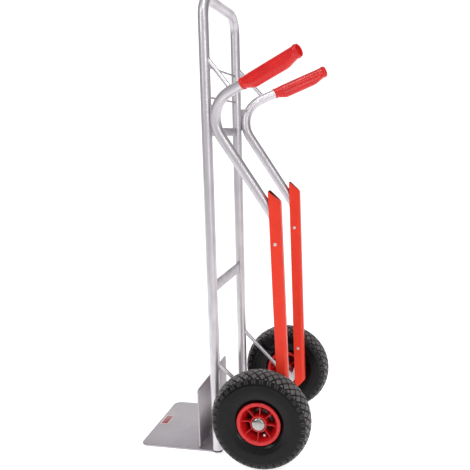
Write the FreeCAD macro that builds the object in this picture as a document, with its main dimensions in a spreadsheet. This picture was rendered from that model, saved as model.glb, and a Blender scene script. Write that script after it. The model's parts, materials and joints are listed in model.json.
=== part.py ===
"""Aluminium stacking truck with stair skids, modelled in millimetres.

The truck stands upright on its toe plate and its two pneumatic wheels. +Z is up, +Y points to
the side where the user stands, and +X is the user's left hand, so left pieces lie at +X. The
origin is on the floor, midway between the toe plate's front edge and the back of the tyres.
"""
import FreeCAD, Part
import math
import os
import Sketcher

Vector = FreeCAD.Vector
Rotation = FreeCAD.Rotation
Placement = FreeCAD.Placement

SIZES = {
    # bent tube frame
    "tube_radius": 13.5, "tube_wall": 2.0, "frame_height": 1213.0, "frame_ahead": 19.5,
    "foot_half_gap": 154.0, "top_half_gap": 166.0, "foot_lift": 10.0, "loop_bend": 52.0,
    # cross members between the uprights
    "bar_depth": 12.0, "upper_bar_tall": 23.0, "upper_bar_level": 867.0,
    "middle_bar_tall": 31.0, "middle_bar_level": 459.0,
    "rod_radius": 2.5, "upper_rod_level": 1030.0, "lower_rod_level": 954.0,
    "heel_tall": 30.0, "heel_deep": 25.0,
    # toe plate and the upright plate that stands on it
    "toe_wide": 312.0, "toe_front": 245.0, "toe_rear": 8.0, "sheet": 5.0, "toe_corner": 22.0,
    "guard_wide": 296.0, "guard_tall": 168.0, "guard_ahead": 75.0, "guard_corner": 9.0,
    "label_long": 64.0, "label_deep": 26.0, "label_thick": 0.4, "label_ahead": 238.0, "label_aside": 14.0,
    # handles: foot, knee, crook and grip end of the bent side tubes
    "handle_foot_side": 142.1, "handle_foot_back": 163.1, "handle_foot_level": 112.0,
    "knee_side": 160.5, "knee_back": 151.6, "knee_level": 646.0, "knee_bend": 60.0,
    "crook_side": 166.0, "crook_ahead": 29.0, "crook_level": 926.5, "crook_bend": 78.0,
    "reach_side": 269.3, "reach_back": 234.0, "reach_level": 1042.7,
    "gusset_thick": 6.0,
    # grips, measured along and below the tube's axis
    "grip_long": 171.0, "grip_radius": 15.7, "grip_end_radius": 18.0, "grip_end_wall": 6.0,
    "skirt_deep": 24.6, "skirt_wide": 24.0,
    # struts
    "upper_strut_radius": 6.0, "lower_strut_radius": 5.5,
    # stair skids
    "skid_half_wide": 16.0, "skid_back": 17.3, "skid_front": 12.5, "skid_chamfer": 6.0,
    "skid_bore": 13.8, "skid_long": 604.0, "skid_slope": 29.0, "skid_lid": 8.0, "skid_drop": 27.0,
    "screw_radius": 2.5, "screw_head": 5.0, "screw_head_tall": 2.2,
    # wheels
    "wheel_radius": 130.0, "wheel_half_track": 207.5, "axle_back": 115.0, "tyre_half": 42.5,
    "axle_radius": 10.0, "axle_half": 244.5, "bearing_bore": 10.05, "bearing_radius": 17.5,
    "bead_radius": 52.0, "rim_radius": 57.0, "rib_thick": 3.0, "hub_radius": 21.0,
    "bolt_circle": 29.0,
    "bracket_thick": 8.0, "bracket_round": 18.0, "bracket_heel_tall": 23.0, "bracket_chin": 27.0,
}
RIB_COUNT = 8
RIM_BOLT_COUNT = 4
SIDES = {"left": 1, "right": -1}

doc = FreeCAD.newDocument("stacking_truck")
sheet = doc.addObject("Spreadsheet::Sheet", "Sizes")
for row, (alias, size) in enumerate(SIZES.items(), 1):
    sheet.set("A%d" % row, alias)
    sheet.set("B%d" % row, str(size))
    sheet.setAlias("B%d" % row, alias)
doc.recompute()


class Size:
    """A length worked out from the sheet: its number now, and the formula that binds it."""

    def __init__(self, number, formula):
        self.number = number
        self.formula = formula

    def joined(self, other, sign, number):
        return Size(number, "(%s %s %s)" % (self.formula, sign, other.formula))

    def __add__(self, other):
        other = sized(other)
        return self.joined(other, "+", self.number + other.number)

    def __sub__(self, other):
        other = sized(other)
        return self.joined(other, "-", self.number - other.number)

    def __mul__(self, other):
        other = sized(other)
        return self.joined(other, "*", self.number * other.number)

    def __truediv__(self, other):
        other = sized(other)
        return self.joined(other, "/", self.number / other.number)

    def __neg__(self):
        return Size(-self.number, "(0 - %s)" % self.formula)

    __radd__ = __add__
    __rmul__ = __mul__

    def __rsub__(self, other):
        return sized(other) - self


def sized(value):
    """Let a plain number stand where a Size is expected."""
    return value if isinstance(value, Size) else Size(float(value), "%.6f" % value)


def cell(alias):
    return Size(float(sheet.get(alias)), "Sizes.%s" % alias)


def bind(obj, prop, value):
    value = sized(value)
    obj.setExpression(prop, value.formula)


def bind_place(obj, where):
    for axis, value in zip("xyz", where):
        bind(obj, "Placement.Base.%s" % axis, value)


def point(x, y, z):
    return Vector(sized(x).number, sized(y).number, sized(z).number)


# ---- sketched bodies ------------------------------------------------------------------------

def draw(sketch, outline):
    """Draw one closed outline, each corner held at its two coordinates.

    A corner is (x, y), reached by a straight line, or (x, y, radius), reached by an arc that
    bulges to the right of the way it travels when its radius is positive.
    """
    ends = []
    for number, corner in enumerate(outline):
        before = outline[number - 1]
        start = point(before[0], before[1], 0)
        end = point(corner[0], corner[1], 0)
        if len(corner) == 2:
            index = sketch.addGeometry(Part.LineSegment(start, end), False)
            ends.append((index, 1, 2))
            continue
        radius = sized(corner[2])
        along = end - start
        across = Vector(along.y, -along.x, 0).normalize()
        turn = 1 if radius.number > 0 else -1
        depth = math.sqrt(radius.number ** 2 - (along.Length / 2) ** 2)
        centre = (start + end) * 0.5 - across * depth * turn
        bulge = centre + across * abs(radius.number) * turn
        arc = Part.Arc(start, bulge, end)
        index = sketch.addGeometry(arc, False)
        ends.append((index, 1, 2) if turn > 0 else (index, 2, 1))
        hold = sketch.addConstraint(Sketcher.Constraint("Radius", index, abs(radius.number)))
        bind(sketch, "Constraints[%d]" % hold, radius * turn)
    for number, (index, first, last) in enumerate(ends):
        following = ends[(number + 1) % len(ends)]
        sketch.addConstraint(Sketcher.Constraint("Coincident", index, last, following[0], following[1]))
        for kind, value in zip(("DistanceX", "DistanceY"), outline[number]):
            hold = sketch.addConstraint(Sketcher.Constraint(kind, index, last, sized(value).number))
            bind(sketch, "Constraints[%d]" % hold, value)


def body_with_sketch(label, plane, outlines):
    body = doc.addObject("PartDesign::Body", label)
    body.Label = label
    planes = [item for item in body.Origin.OriginFeatures if item.Role == plane]
    sketch = body.newObject("Sketcher::SketchObject", label + "_outline")
    sketch.AttachmentSupport = (planes[0], [""])
    sketch.MapMode = "FlatFace"
    for outline in outlines:
        draw(sketch, outline)
    return body, sketch


def padded(label, plane, outlines, thickness, symmetric=False):
    body, sketch = body_with_sketch(label, plane, outlines)
    pad = body.newObject("PartDesign::Pad", label + "_pad")
    pad.Profile = sketch
    pad.SideType = "Symmetric" if symmetric else "One side"
    bind(pad, "Length", thickness)
    return body


def turned(label, outlines):
    """A body of revolution about the X axis, from outlines given as (x, distance from axis)."""
    body, sketch = body_with_sketch(label, "XZ_Plane", outlines)
    turning = body.newObject("PartDesign::Revolution", label + "_turning")
    turning.Profile = sketch
    turning.ReferenceAxis = (sketch, ["H_Axis"])
    turning.Angle = 360
    return body


# ---- primitives and booleans ----------------------------------------------------------------

def box(label, low, high):
    """A block between two corners, each given as (x, y, z)."""
    block = doc.addObject("Part::Box", label)
    for prop, near, far in zip(("Length", "Width", "Height"), low, high):
        bind(block, prop, sized(far) - near)
    bind_place(block, low)
    return block


def rod(label, start, end, radius, overrun=0.0):
    """A round bar between two points, run past both of them by overrun."""
    along = end - start
    bar = doc.addObject("Part::Cylinder", label)
    bind(bar, "Radius", radius)
    bar.Height = along.Length + 2 * overrun
    first = start - along.normalize() * overrun
    bar.Placement = Placement(first, Rotation(Vector(0, 0, 1), end - start))
    return bar


def cut(label, base, *tools):
    for number, tool in enumerate(tools, 1):
        step = doc.addObject("Part::Cut", label if number == len(tools) else "%s_cut%d" % (label, number))
        step.Base = base
        step.Tool = tool
        base = step
    return base


def fused(label, shapes):
    joined = doc.addObject("Part::MultiFuse", label)
    joined.Shapes = shapes
    return joined


def grouped(label, shapes):
    group = doc.addObject("Part::Compound", label)
    group.Links = shapes
    return group


def rounded_path(label, corners, bends):
    """A wire of straight runs joined by tangent arcs, one bend radius for each inner corner."""
    edges = []
    last = corners[0]
    for before, corner, after, radius in zip(corners, corners[1:], corners[2:], bends):
        back = (before - corner).normalize()
        ahead = (after - corner).normalize()
        half = back.getAngle(ahead) / 2
        tangent = radius / math.tan(half)
        first = corner + back * tangent
        final = corner + ahead * tangent
        middle = (back + ahead).normalize()
        bulge = corner + middle * (radius / math.sin(half) - radius)
        edges.append(Part.LineSegment(last, first).toShape())
        edges.append(Part.Arc(first, bulge, final).toShape())
        last = final
    edges.append(Part.LineSegment(last, corners[-1]).toShape())
    path = doc.addObject("Part::Feature", label)
    path.Shape = Part.Wire(edges)
    return path


def swept(label, path, radius):
    """A solid round bar along a path."""
    start = path.Shape.Edges[0]
    ring = doc.addObject("Part::Circle", label + "_ring")
    bind(ring, "Radius", radius)
    ring.Placement = Placement(start.valueAt(start.FirstParameter),
                               Rotation(Vector(0, 0, 1), start.tangentAt(start.FirstParameter)))
    sweep = doc.addObject("Part::Sweep", label)
    sweep.Sections = [ring]
    sweep.Spine = (path, ["Edge%d" % (n + 1) for n in range(len(path.Shape.Edges))])
    sweep.Solid = True
    sweep.Frenet = False
    return sweep


def mirrored(side, x, y, z):
    """A point on the left side, or its mirror image on the right."""
    return point(sized(x) * SIDES[side], y, z)


PARTS = []


def keep(obj, label):
    obj.Label = label
    PARTS.append(obj)
    return obj


tube_radius = cell("tube_radius")
tube_wall = cell("tube_wall")
frame_ahead = cell("frame_ahead")
frame_plane = -frame_ahead
wheel_radius = cell("wheel_radius")
axle_back = cell("axle_back")
sheet_thick = cell("sheet")


# ---- bent tube frame ------------------------------------------------------------------------

def leg_end(side, level):
    """The point of an upright's axis at a level, on its slight outward lean."""
    foot, top = cell("foot_half_gap"), cell("top_half_gap")
    crown = cell("frame_height") - tube_radius
    share = (level - cell("foot_lift").number) / (crown - cell("foot_lift")).number
    return mirrored(side, foot + (top - foot) * share, frame_plane, level)


def leg_solid(side, label):
    """The full round of an upright, used to shape whatever is welded to it."""
    low = leg_end(side, 0.0)
    high = leg_end(side, (cell("frame_height") - tube_radius - cell("loop_bend")).number)
    return rod(label, low, high, tube_radius)


LEGS = {side: leg_solid(side, "leg_solid_" + side) for side in SIDES}


def back_frame():
    crown = (cell("frame_height") - tube_radius).number
    foot = cell("foot_lift").number
    corners = [leg_end("left", foot), leg_end("left", crown),
               leg_end("right", crown), leg_end("right", foot)]
    bend = cell("loop_bend").number
    path = rounded_path("frame_path", corners, [bend, bend])
    outer = swept("frame_outer", path, tube_radius)
    inner = swept("frame_inner", path, tube_radius - tube_wall)
    keep(cut("back_frame", outer, inner), "back_frame")


def foot_plug(side):
    """A plastic plug in an upright's foot: a round pad with a spigot up into the tube."""
    foot = leg_end(side, cell("foot_lift").number)
    up = (leg_end(side, 100.0) - foot).normalize()
    pad = rod("foot_pad_" + side, foot - up * 4.5, foot, tube_radius)
    spigot = rod("foot_spigot_" + side, foot - up, foot + up * 16.0, tube_radius - tube_wall)
    return fused("foot_plug_" + side, [pad, spigot])


def crossbar(label, level, tall):
    """A flattened tube between the uprights, saddled onto them at both ends."""
    depth = cell("bar_depth")
    half = tall / 2
    round_end = depth / 2
    wall = cell("tube_wall")

    def oval(inset):
        radius = round_end - inset
        straight = half - round_end
        return [(frame_plane + radius, level - straight), (frame_plane + radius, level + straight),
                (frame_plane - radius, level + straight, radius * 1.0001),
                (frame_plane - radius, level - straight),
                (frame_plane + radius, level - straight, radius * 1.0001)]

    gap = leg_end("left", level.number).x * 2
    bar = padded(label + "_tube", "YZ_Plane", [oval(0)[1:], oval(wall)[1:]], gap, symmetric=True)
    keep(cut(label, bar, LEGS["left"], LEGS["right"]), label)


def cross_rod(label, level):
    bar = rod(label + "_bar", leg_end("left", level), leg_end("right", level), cell("rod_radius"))
    keep(cut(label, bar, LEGS["left"], LEGS["right"]), label)


def heel_bar():
    """A box-section member that joins the uprights' feet and carries the toe plate."""
    deep, tall = cell("heel_deep"), cell("heel_tall")
    half = cell("foot_half_gap")
    front = frame_plane - deep / 2
    outer = box("heel_outer", (-half, front, sheet_thick), (half, front + deep, sheet_thick + tall))
    inner = box("heel_inner", (-half - 1, front + tube_wall, sheet_thick + tube_wall),
                (half + 1, front + deep - tube_wall, sheet_thick + tall - tube_wall))
    keep(cut("heel_bar", outer, inner, LEGS["left"], LEGS["right"]), "heel_bar")


# ---- toe plate ------------------------------------------------------------------------------

def rounded_edges(label, base, radius, wanted):
    """Round the straight edges of a block whose middle point passes the test."""
    doc.recompute()
    numbers = [number for number, edge in enumerate(base.Shape.Edges, 1)
               if wanted(edge.CenterOfMass, edge.tangentAt(edge.FirstParameter))]
    fillet = doc.addObject("Part::Fillet", label)
    fillet.Base = base
    fillet.Edges = [(number, radius.number, radius.number) for number in numbers]
    return fillet


def toe_plate():
    half = cell("toe_wide") / 2
    front = -cell("toe_front")
    blade = box("toe_blade", (-half, front, 0), (half, -cell("toe_rear"), sheet_thick))
    corners = rounded_edges("toe_plate", blade, cell("toe_corner"),
                            lambda middle, way: abs(way.z) > 0.9 and middle.y < front.number + 1)
    keep(corners, "toe_plate")


def upright_plate():
    half = cell("guard_wide") / 2
    front = -cell("guard_ahead")
    top = sheet_thick + cell("guard_tall")
    plate = box("upright_sheet", (-half, front, sheet_thick), (half, front + sheet_thick, top))
    corners = rounded_edges("upright_plate", plate, cell("guard_corner"),
                            lambda middle, way: abs(way.y) > 0.9 and middle.z > top.number - 1)
    keep(corners, "upright_plate")


def toe_label():
    half = cell("label_long") / 2
    middle = -cell("label_aside")
    front = -cell("label_ahead")
    top = sheet_thick + cell("label_thick")
    film = box("toe_label", (middle - half, front, sheet_thick),
               (middle + half, front + cell("label_deep"), top))
    keep(film, "toe_label")


# ---- handles --------------------------------------------------------------------------------

def handle_corners(side):
    return [mirrored(side, cell("handle_foot_side"), cell("handle_foot_back"), cell("handle_foot_level")),
            mirrored(side, cell("knee_side"), cell("knee_back"), cell("knee_level")),
            mirrored(side, cell("crook_side"), -cell("crook_ahead"), cell("crook_level")),
            mirrored(side, cell("reach_side"), cell("reach_back"), cell("reach_level"))]


def handle_solid(side):
    """The full round of a handle tube, up to the inside of its grip's closed end."""
    corners = handle_corners(side)
    reach = corners[3] - corners[2]
    wall = cell("grip_end_wall").number
    corners[3] = corners[2] + reach * ((reach.Length - wall) / reach.Length)
    bends = [cell("knee_bend").number, cell("crook_bend").number]
    path = rounded_path("handle_path_" + side, corners, bends)
    return path, swept("handle_outer_" + side, path, tube_radius)


def screw_places(side):
    """Where the skid screws cross the handle tube, near the skid's top and bottom."""
    foot, knee = handle_corners(side)[:2]
    return [foot + (knee - foot) * share for share in (0.190, 0.878)]


def skid_screws(side):
    """Pan-head screws through each side wall of a skid into the handle tube."""
    screws = []
    wall = cell("skid_half_wide").number
    for place in screw_places(side):
        for way in (1, -1):
            face = place + Vector(way * wall, 0, 0)
            inward = Vector(-way, 0, 0)
            name = "skid_screw_%s_%d" % (side, len(screws))
            shank = rod(name + "_shank", face, face + inward * 7.0, cell("screw_radius"))
            head = rod(name + "_head", face - inward * cell("screw_head_tall").number, face,
                       cell("screw_head"))
            screws.append(fused(name, [shank, head]))
    return screws


def handle_tube(side, outer, path, screws):
    inner = swept("handle_inner_" + side, path, tube_radius - tube_wall)
    keep(cut("handle_tube_" + side, outer, inner, screws), "handle_tube_" + side)


def handle_gusset(side, handle):
    """A plate that closes the narrow gap where the handle tube passes behind the upright."""
    low = cell("crook_level") - 55
    thick = cell("gusset_thick")
    centre = (cell("crook_side") + 1) * SIDES[side]
    plate = box("gusset_plate_" + side, (centre - thick / 2, frame_plane + 4, low),
                (centre + thick / 2, frame_plane + 32, low + 62))
    trimmed = cut("gusset_trim_" + side, plate, LEGS[side], handle)
    keep(trimmed, "handle_gusset_" + side)


def grip_frame(side):
    """Axes of a grip: along its tube to the open end, level, and down below the tube."""
    corners = handle_corners(side)
    along = (corners[3] - corners[2]).normalize()
    down = (Vector(0, 0, -1) + along * along.z).normalize()
    across = down.cross(along)
    inner_end = corners[3] - along * cell("grip_long").number
    turn = FreeCAD.Matrix(across.x, down.x, along.x, inner_end.x, across.y, down.y, along.y,
                          inner_end.y, across.z, down.z, along.z, inner_end.z, 0, 0, 0, 1)
    return Placement(turn)


def grip(side, handle):
    """A moulded grip: a sleeve with a flared closed end and a finger skirt under it."""
    place = grip_frame(side)
    long = cell("grip_long")
    radius = cell("grip_radius")
    flare = cell("grip_end_radius")
    deep = cell("skirt_deep")
    sleeve = doc.addObject("Part::Cylinder", "grip_sleeve_" + side)
    bind(sleeve, "Radius", radius)
    bind(sleeve, "Height", long - 12)
    sleeve.Placement = place
    ends = [("neck", radius, flare, long - 16, 9), ("rim", flare, flare - 2.5, long - 7, 7)]
    cones = []
    for name, near, far, start, length in ends:
        cone = doc.addObject("Part::Cone", "grip_%s_%s" % (name, side))
        bind(cone, "Radius1", near)
        bind(cone, "Radius2", far)
        bind(cone, "Height", length)
        cone.Placement = place.multiply(Placement(Vector(0, 0, sized(start).number), Rotation()))
        cones.append(cone)
    skirt_outline = [(0, 8), (deep * 0.45, 8), (deep, 31), (deep, long - 42), (deep * 0.62, long - 13),
                     (0, long - 13)]
    skirt = padded("grip_skirt_" + side, "YZ_Plane", [skirt_outline], cell("skirt_wide"), symmetric=True)
    skirt.Placement = place
    whole = fused("grip_whole_" + side, [sleeve, skirt] + cones)
    keep(cut("grip_" + side, whole, handle), "grip_" + side)


# ---- struts ---------------------------------------------------------------------------------

def upper_strut(side, handle):
    """A thin stay from the back of the upright down to the handle tube beside the grip."""
    corners = handle_corners(side)
    along = (corners[3] - corners[2]).normalize()
    low = corners[2] + along * 101.0
    high = leg_end(side, 1046.0) + Vector(0, 8.0, 0)
    stay = rod("upper_stay_" + side, high, low, cell("upper_strut_radius"))
    keep(cut("upper_strut_" + side, stay, LEGS[side], handle), "upper_strut_" + side)


def lower_strut(side, bracket):
    """A thin stay from the back of the upright down to the axle bracket."""
    axle = mirrored(side, bracket_side(), axle_back, wheel_radius)
    high = leg_end(side, 257.0) + Vector(0, 6.0, 0)
    low = axle + (high - axle).normalize() * (cell("bracket_round").number - 3.0)
    stay = rod("lower_stay_" + side, high, low, cell("lower_strut_radius"))
    keep(cut("lower_strut_" + side, stay, LEGS[side], bracket), "lower_strut_" + side)


# ---- axle and its brackets ------------------------------------------------------------------

def bracket_side():
    """The side distance of the handle tube's axis at the axle's level."""
    foot, knee = cell("handle_foot_side"), cell("knee_side")
    share = (wheel_radius - cell("handle_foot_level")) / (cell("knee_level") - cell("handle_foot_level"))
    return foot + (knee - foot) * share


def bracket_blank(side):
    """A plate with a round nose about the axle, a scooped top and a rounded chin before the tube."""
    nose = cell("bracket_round")
    heel = cell("handle_foot_back") - 4
    tube_front = cell("handle_foot_back") - tube_radius - 0.4
    tube_end = cell("handle_foot_level") + 1
    heel_top = wheel_radius + cell("bracket_heel_tall")
    chin = wheel_radius - cell("bracket_chin")
    outline = [(heel, heel_top), (heel, tube_end), (tube_front, tube_end), (tube_front, tube_end - 4.5),
               (tube_front - 8, chin, -9), (axle_back, wheel_radius - nose),
               (axle_back - nose, wheel_radius, -nose), (axle_back, wheel_radius + nose, -nose),
               (tube_front - 15, wheel_radius + 7), (tube_front, heel_top - 1, 14)]
    plate = padded("bracket_blank_" + side, "YZ_Plane", [outline], cell("bracket_thick"), symmetric=True)
    bind(plate, "Placement.Base.x", bracket_side() * SIDES[side])
    return plate


def axle_bracket(side, blank, handle):
    centre = mirrored(side, bracket_side(), axle_back, wheel_radius)
    bore = rod("bracket_bore_" + side, centre - Vector(20, 0, 0), centre + Vector(20, 0, 0),
               cell("axle_radius") + 0.1)
    keep(cut("axle_bracket_" + side, blank, handle, bore), "axle_bracket_" + side)


def along_axle(label, start, end, radius, side=None):
    """A round piece on the axle, from one side distance to another."""
    way = SIDES[side] if side else 1
    first = point(sized(start) * way, axle_back, wheel_radius)
    last = point(sized(end) * way, axle_back, wheel_radius)
    return rod(label, first, last, radius)


def axle():
    half = cell("axle_half")
    bar = along_axle("axle_bar", -half, half, cell("axle_radius"))
    keep(cut("axle", bar, *[pin_solid(side, "axle_hole") for side in SIDES]), "axle")


def pin_solid(side, name):
    """The retaining pin's place, across the axle just outside the outer washer."""
    centre = mirrored(side, cell("axle_half") - 3.1, axle_back, wheel_radius)
    half = Vector(0, 0, 13.5)
    return rod("%s_%s" % (name, side), centre - half, centre + half, 2.0)


def ring(label, start, end, outer, inner, side):
    """A plain ring on the axle."""
    disc = along_axle(label + "_disc", start, end, outer, side)
    hole = along_axle(label + "_hole", sized(start) - 1, sized(end) + 1, inner, side)
    return cut(label, disc, hole)


def axle_spacer(side):
    start = bracket_side() + cell("bracket_thick") / 2
    spacer = ring("axle_spacer_" + side, start, cell("wheel_half_track") - 39.2, 13.0,
                  cell("axle_radius") + 0.1, side)
    keep(spacer, "axle_spacer_" + side)


def axle_washers(side):
    track = cell("wheel_half_track")
    bore = cell("axle_radius") + 0.1
    inner = ring("inner_washer_" + side, track - 39.0, track - 36.6, 15.0, bore, side)
    outer = ring("outer_washer_" + side, track + 29.9, track + 31.6, 15.0, bore, side)
    keep(grouped("axle_washers_" + side, [inner, outer]), "axle_washers_" + side)


# ---- wheels ---------------------------------------------------------------------------------

def set_on_axle(obj, side):
    """Place a piece drawn about its own wheel centre, turned round on the right side."""
    spin = 0 if side == "left" else 180
    obj.Placement = Placement(Vector(), Rotation(Vector(0, 0, 1), spin))
    bind_place(obj, (cell("wheel_half_track") * SIDES[side], axle_back, wheel_radius))
    return obj


def tyre(side):
    """A hollow carcass, open between its beads."""
    half = cell("tyre_half")
    bead = cell("bead_radius")
    crown = wheel_radius - 10
    outline = [(-27, bead), (-22, bead + 1), (-25, bead + 10), (-half + 7, 89, -42), (-30, crown - 5, -42),
               (30, crown - 5, -80), (half - 7, 89, -42), (25, bead + 10, -42), (22, bead + 1),
               (27, bead), (32, bead + 8), (half, 92, 46), (36, crown, 46), (-36, crown, 69.8),
               (-half, 92, 46), (-32, bead + 8, 46)]
    body = turned("tyre_" + side, [outline])
    keep(set_on_axle(body, side), "tyre_" + side)


def inner_tube(side):
    """The air tube that fills the tyre, a hollow ring with a thin wall."""
    def section(inset):
        return [(-22 + inset, 60 + inset), (-33.5 + inset, 89, -60), (-27 + inset, 112 - inset, -60),
                (27 - inset, 112 - inset, -90), (33.5 - inset, 89, -60), (22 - inset, 60 + inset, -60)]
    body = turned("inner_tube_" + side, [section(0), section(2)])
    keep(set_on_axle(body, side), "inner_tube_" + side)


def rim_half(name, side, way):
    """One half of the moulded rim: hub, web, bead seat, flange and radial ribs."""
    hub = cell("hub_radius")
    bore = cell("bearing_radius")
    seat = cell("bead_radius") - 0.4
    lip = cell("rim_radius")
    face = 38.0
    step = (29.5, 34.0) if way > 0 else (36.0, 36.3)
    bearing_seat = 13.8 if way > 0 else 19.8
    outline = [(0.1, 14), (bearing_seat, 14), (bearing_seat, bore), (step[0], bore),
               (step[0], bore + 0.6), (step[1], bore + 0.6), (step[1], hub), (6, hub + 2), (4.5, 32),
               (20, 42.5), (30, 46.5), (face - 2, 47.5), (face, 49.5), (face, lip - 2), (face - 2, lip),
               (face - 5, lip), (face - 9, seat), (0.1, seat)]
    outline = [(sized(x) * way, radius) for x, radius in outline]
    parts = [turned("%s_turned_%s" % (name, side), [outline])]
    thick = cell("rib_thick")
    for number in range(RIB_COUNT):
        rib = doc.addObject("Part::Box", "%s_rib_%s_%d" % (name, side, number))
        bind(rib, "Length", 25.0)
        bind(rib, "Width", thick)
        bind(rib, "Height", 26.0)
        turn = spoke_turn(side, 360.0 / RIB_COUNT * number - 5.0)
        start = 3.0 if way > 0 else -28.0
        rib.Placement = Placement(turn.multVec(Vector(start, -thick.number / 2, hub.number - 1)), turn)
        parts.append(rib)
    blank = fused("%s_blank_%s" % (name, side), parts)
    holes = [rim_bolt("%s_hole_%s_%d" % (name, side, n), side, n) for n in range(RIM_BOLT_COUNT)]
    holes.append(valve_solid("%s_valve_hole_%s" % (name, side), side))
    drilled = cut("%s_%s" % (name, side), blank, grouped("%s_holes_%s" % (name, side), holes))
    keep(set_on_axle(drilled, side), "%s_%s" % (name, side))


def spoke_turn(side, degrees):
    """A turn about the axle, counted forwards from straight up and the same way on both sides."""
    return Rotation(Vector(1, 0, 0), degrees * SIDES[side])


def rim_bolt(label, side, number):
    """A bolt that clamps the two rim halves, with its head outside and its nut inside."""
    turn = spoke_turn(side, 360.0 / RIM_BOLT_COUNT * number + 96.0)
    circle = cell("bolt_circle").number
    pieces = []
    for name, start, end, radius in (("shank", -7.0, 7.0, 3.0), ("head", 4.0, 8.0, 4.2),
                                     ("nut", -8.0, -4.0, 4.2)):
        first = turn.multVec(Vector(start, 0, circle))
        last = turn.multVec(Vector(end, 0, circle))
        pieces.append(rod("%s_%s" % (label, name), first, last, radius))
    return fused(label, pieces)


def valve_solid(label, side):
    """The bent stem of the air tube's valve, out through the rim's outer web."""
    turn = spoke_turn(side, 204.0)
    corners = [turn.multVec(Vector(x, 0, z)) for x, z in ((4.4, 59.5), (4.4, 39.5), (30.0, 33.0))]
    path = rounded_path(label + "_path", corners, [7.0])
    return swept(label, path, 3.6)


def wheel_hardware(side):
    bolts = [rim_bolt("rim_bolt_%s_%d" % (side, number), side, number) for number in range(RIM_BOLT_COUNT)]
    keep(set_on_axle(grouped("rim_bolts_" + side, bolts), side), "rim_bolts_" + side)
    keep(set_on_axle(valve_solid("valve_" + side, side), side), "valve_" + side)


def bearings(side):
    """Two plain bearing cartridges pressed into the hub."""
    radius = cell("bearing_radius")
    bore = cell("bearing_bore")
    places = ((14.0, 28.0), (-34.0, -20.0))
    pair = []
    for number, (start, end) in enumerate(places):
        outline = [(start, bore), (end, bore), (end, radius), (start, radius)]
        pair.append(turned("bearing_%s_%d" % (side, number), [outline]))
    keep(set_on_axle(grouped("bearings_" + side, pair), side), "bearings_" + side)


def hub_sleeve(side):
    """The sleeve that keeps the two bearings apart."""
    outline = [(-19.7, 10.4), (13.7, 10.4), (13.7, 13.4), (-19.7, 13.4)]
    keep(set_on_axle(turned("hub_sleeve_" + side, [outline]), side), "hub_sleeve_" + side)


def hub_cap(side):
    """A thin domed cap over the axle's end, pressed into the hub."""
    def dome(rise, reach):
        """Radius of the sphere that rises that much over that reach from its pole."""
        return (rise ** 2 + reach ** 2) / (2 * rise)
    outline = [(29.6, 16.8), (36.6, 16.8), (40.0, 11.0, -9), (41.2, 0, -dome(1.2, 11.0)), (42.4, 0),
               (41.0, 11.8, dome(1.4, 11.8)), (37.0, 18.0, 10), (29.6, 18.0)]
    keep(set_on_axle(turned("hub_cap_" + side, [outline]), side), "hub_cap_" + side)


# ---- skids ----------------------------------------------------------------------------------

def skid(side, path, screws):
    """A plastic stair skid: a channel that wraps the handle tube's straight run from behind."""
    half, back, front = cell("skid_half_wide"), cell("skid_back"), cell("skid_front")
    chamfer, bore = cell("skid_chamfer"), cell("skid_bore")
    long = cell("skid_long")
    slope = cell("skid_slope")
    foot, knee = handle_corners(side)[:2]
    along = (knee - foot).normalize()
    place = Placement(foot - along * cell("skid_drop").number, Rotation(Vector(0, 0, 1), along))
    outline = [(-half, -front), (half, -front), (half, back - chamfer), (half - chamfer, back),
               (chamfer - half, back), (-half, back - chamfer)]
    block = padded("skid_block_" + side, "XY_Plane", [outline], long + slope)
    void_outline = [(-bore, -front - 2), (bore, -front - 2), (bore, 0), (-bore, 0, bore * 1.0001)]
    void = padded("skid_void_" + side, "XY_Plane", [void_outline], long - cell("skid_lid"))
    top = [(-front - 1, long + slope + 1), (-front - 1, long + slope), (back + 1, long - 1),
           (back + 1, long + slope + 1)]
    bottom = [(-front - 1, -1), (back + 1, -1), (back + 1, slope + 2)]
    cuts = [void]
    for name, outline in (("top", top), ("bottom", bottom)):
        cuts.append(padded("skid_%s_cut_%s" % (name, side), "YZ_Plane", [outline], half * 2 + 4,
                           symmetric=True))
    for piece in [block] + cuts:
        piece.Placement = place
    clearance = swept("skid_clearance_" + side, path, bore)
    keep(cut("skid_" + side, block, *cuts, clearance, screws), "skid_" + side)


def tube_plug(side):
    """A plastic plug in the handle tube's open foot."""
    foot, knee = handle_corners(side)[:2]
    up = (knee - foot).normalize()
    pad = rod("handle_pad_" + side, foot - up * 3.0, foot, tube_radius)
    spigot = rod("handle_spigot_" + side, foot - up, foot + up * 14.0, tube_radius - tube_wall)
    return fused("handle_plug_" + side, [pad, spigot])


# ---- assembly -------------------------------------------------------------------------------

back_frame()
heel_bar()
crossbar("upper_crossbar", cell("upper_bar_level"), cell("upper_bar_tall"))
crossbar("middle_crossbar", cell("middle_bar_level"), cell("middle_bar_tall"))
cross_rod("upper_cross_rod", cell("upper_rod_level").number)
cross_rod("lower_cross_rod", cell("lower_rod_level").number)
toe_plate()
upright_plate()
toe_label()
axle()
keep(grouped("foot_plugs", [foot_plug(side) for side in SIDES]), "foot_plugs")
keep(grouped("handle_plugs", [tube_plug(side) for side in SIDES]), "handle_plugs")
keep(grouped("axle_pins", [pin_solid(side, "axle_pin") for side in SIDES]), "axle_pins")
all_screws = []
for side in SIDES:
    path, handle = handle_solid(side)
    blank = bracket_blank(side)
    screws = skid_screws(side)
    all_screws += screws
    screw_group = grouped("skid_screw_group_" + side, screws)
    handle_tube(side, handle, path, screw_group)
    handle_gusset(side, handle)
    grip(side, handle)
    upper_strut(side, handle)
    axle_bracket(side, blank, handle)
    lower_strut(side, blank)
    skid(side, path, screw_group)
    axle_spacer(side)
    axle_washers(side)
    tyre(side)
    inner_tube(side)
    rim_half("rim_outer", side, 1)
    rim_half("rim_inner", side, -1)
    wheel_hardware(side)
    bearings(side)
    hub_sleeve(side)
    hub_cap(side)
keep(grouped("skid_screws", all_screws), "skid_screws")

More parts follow.
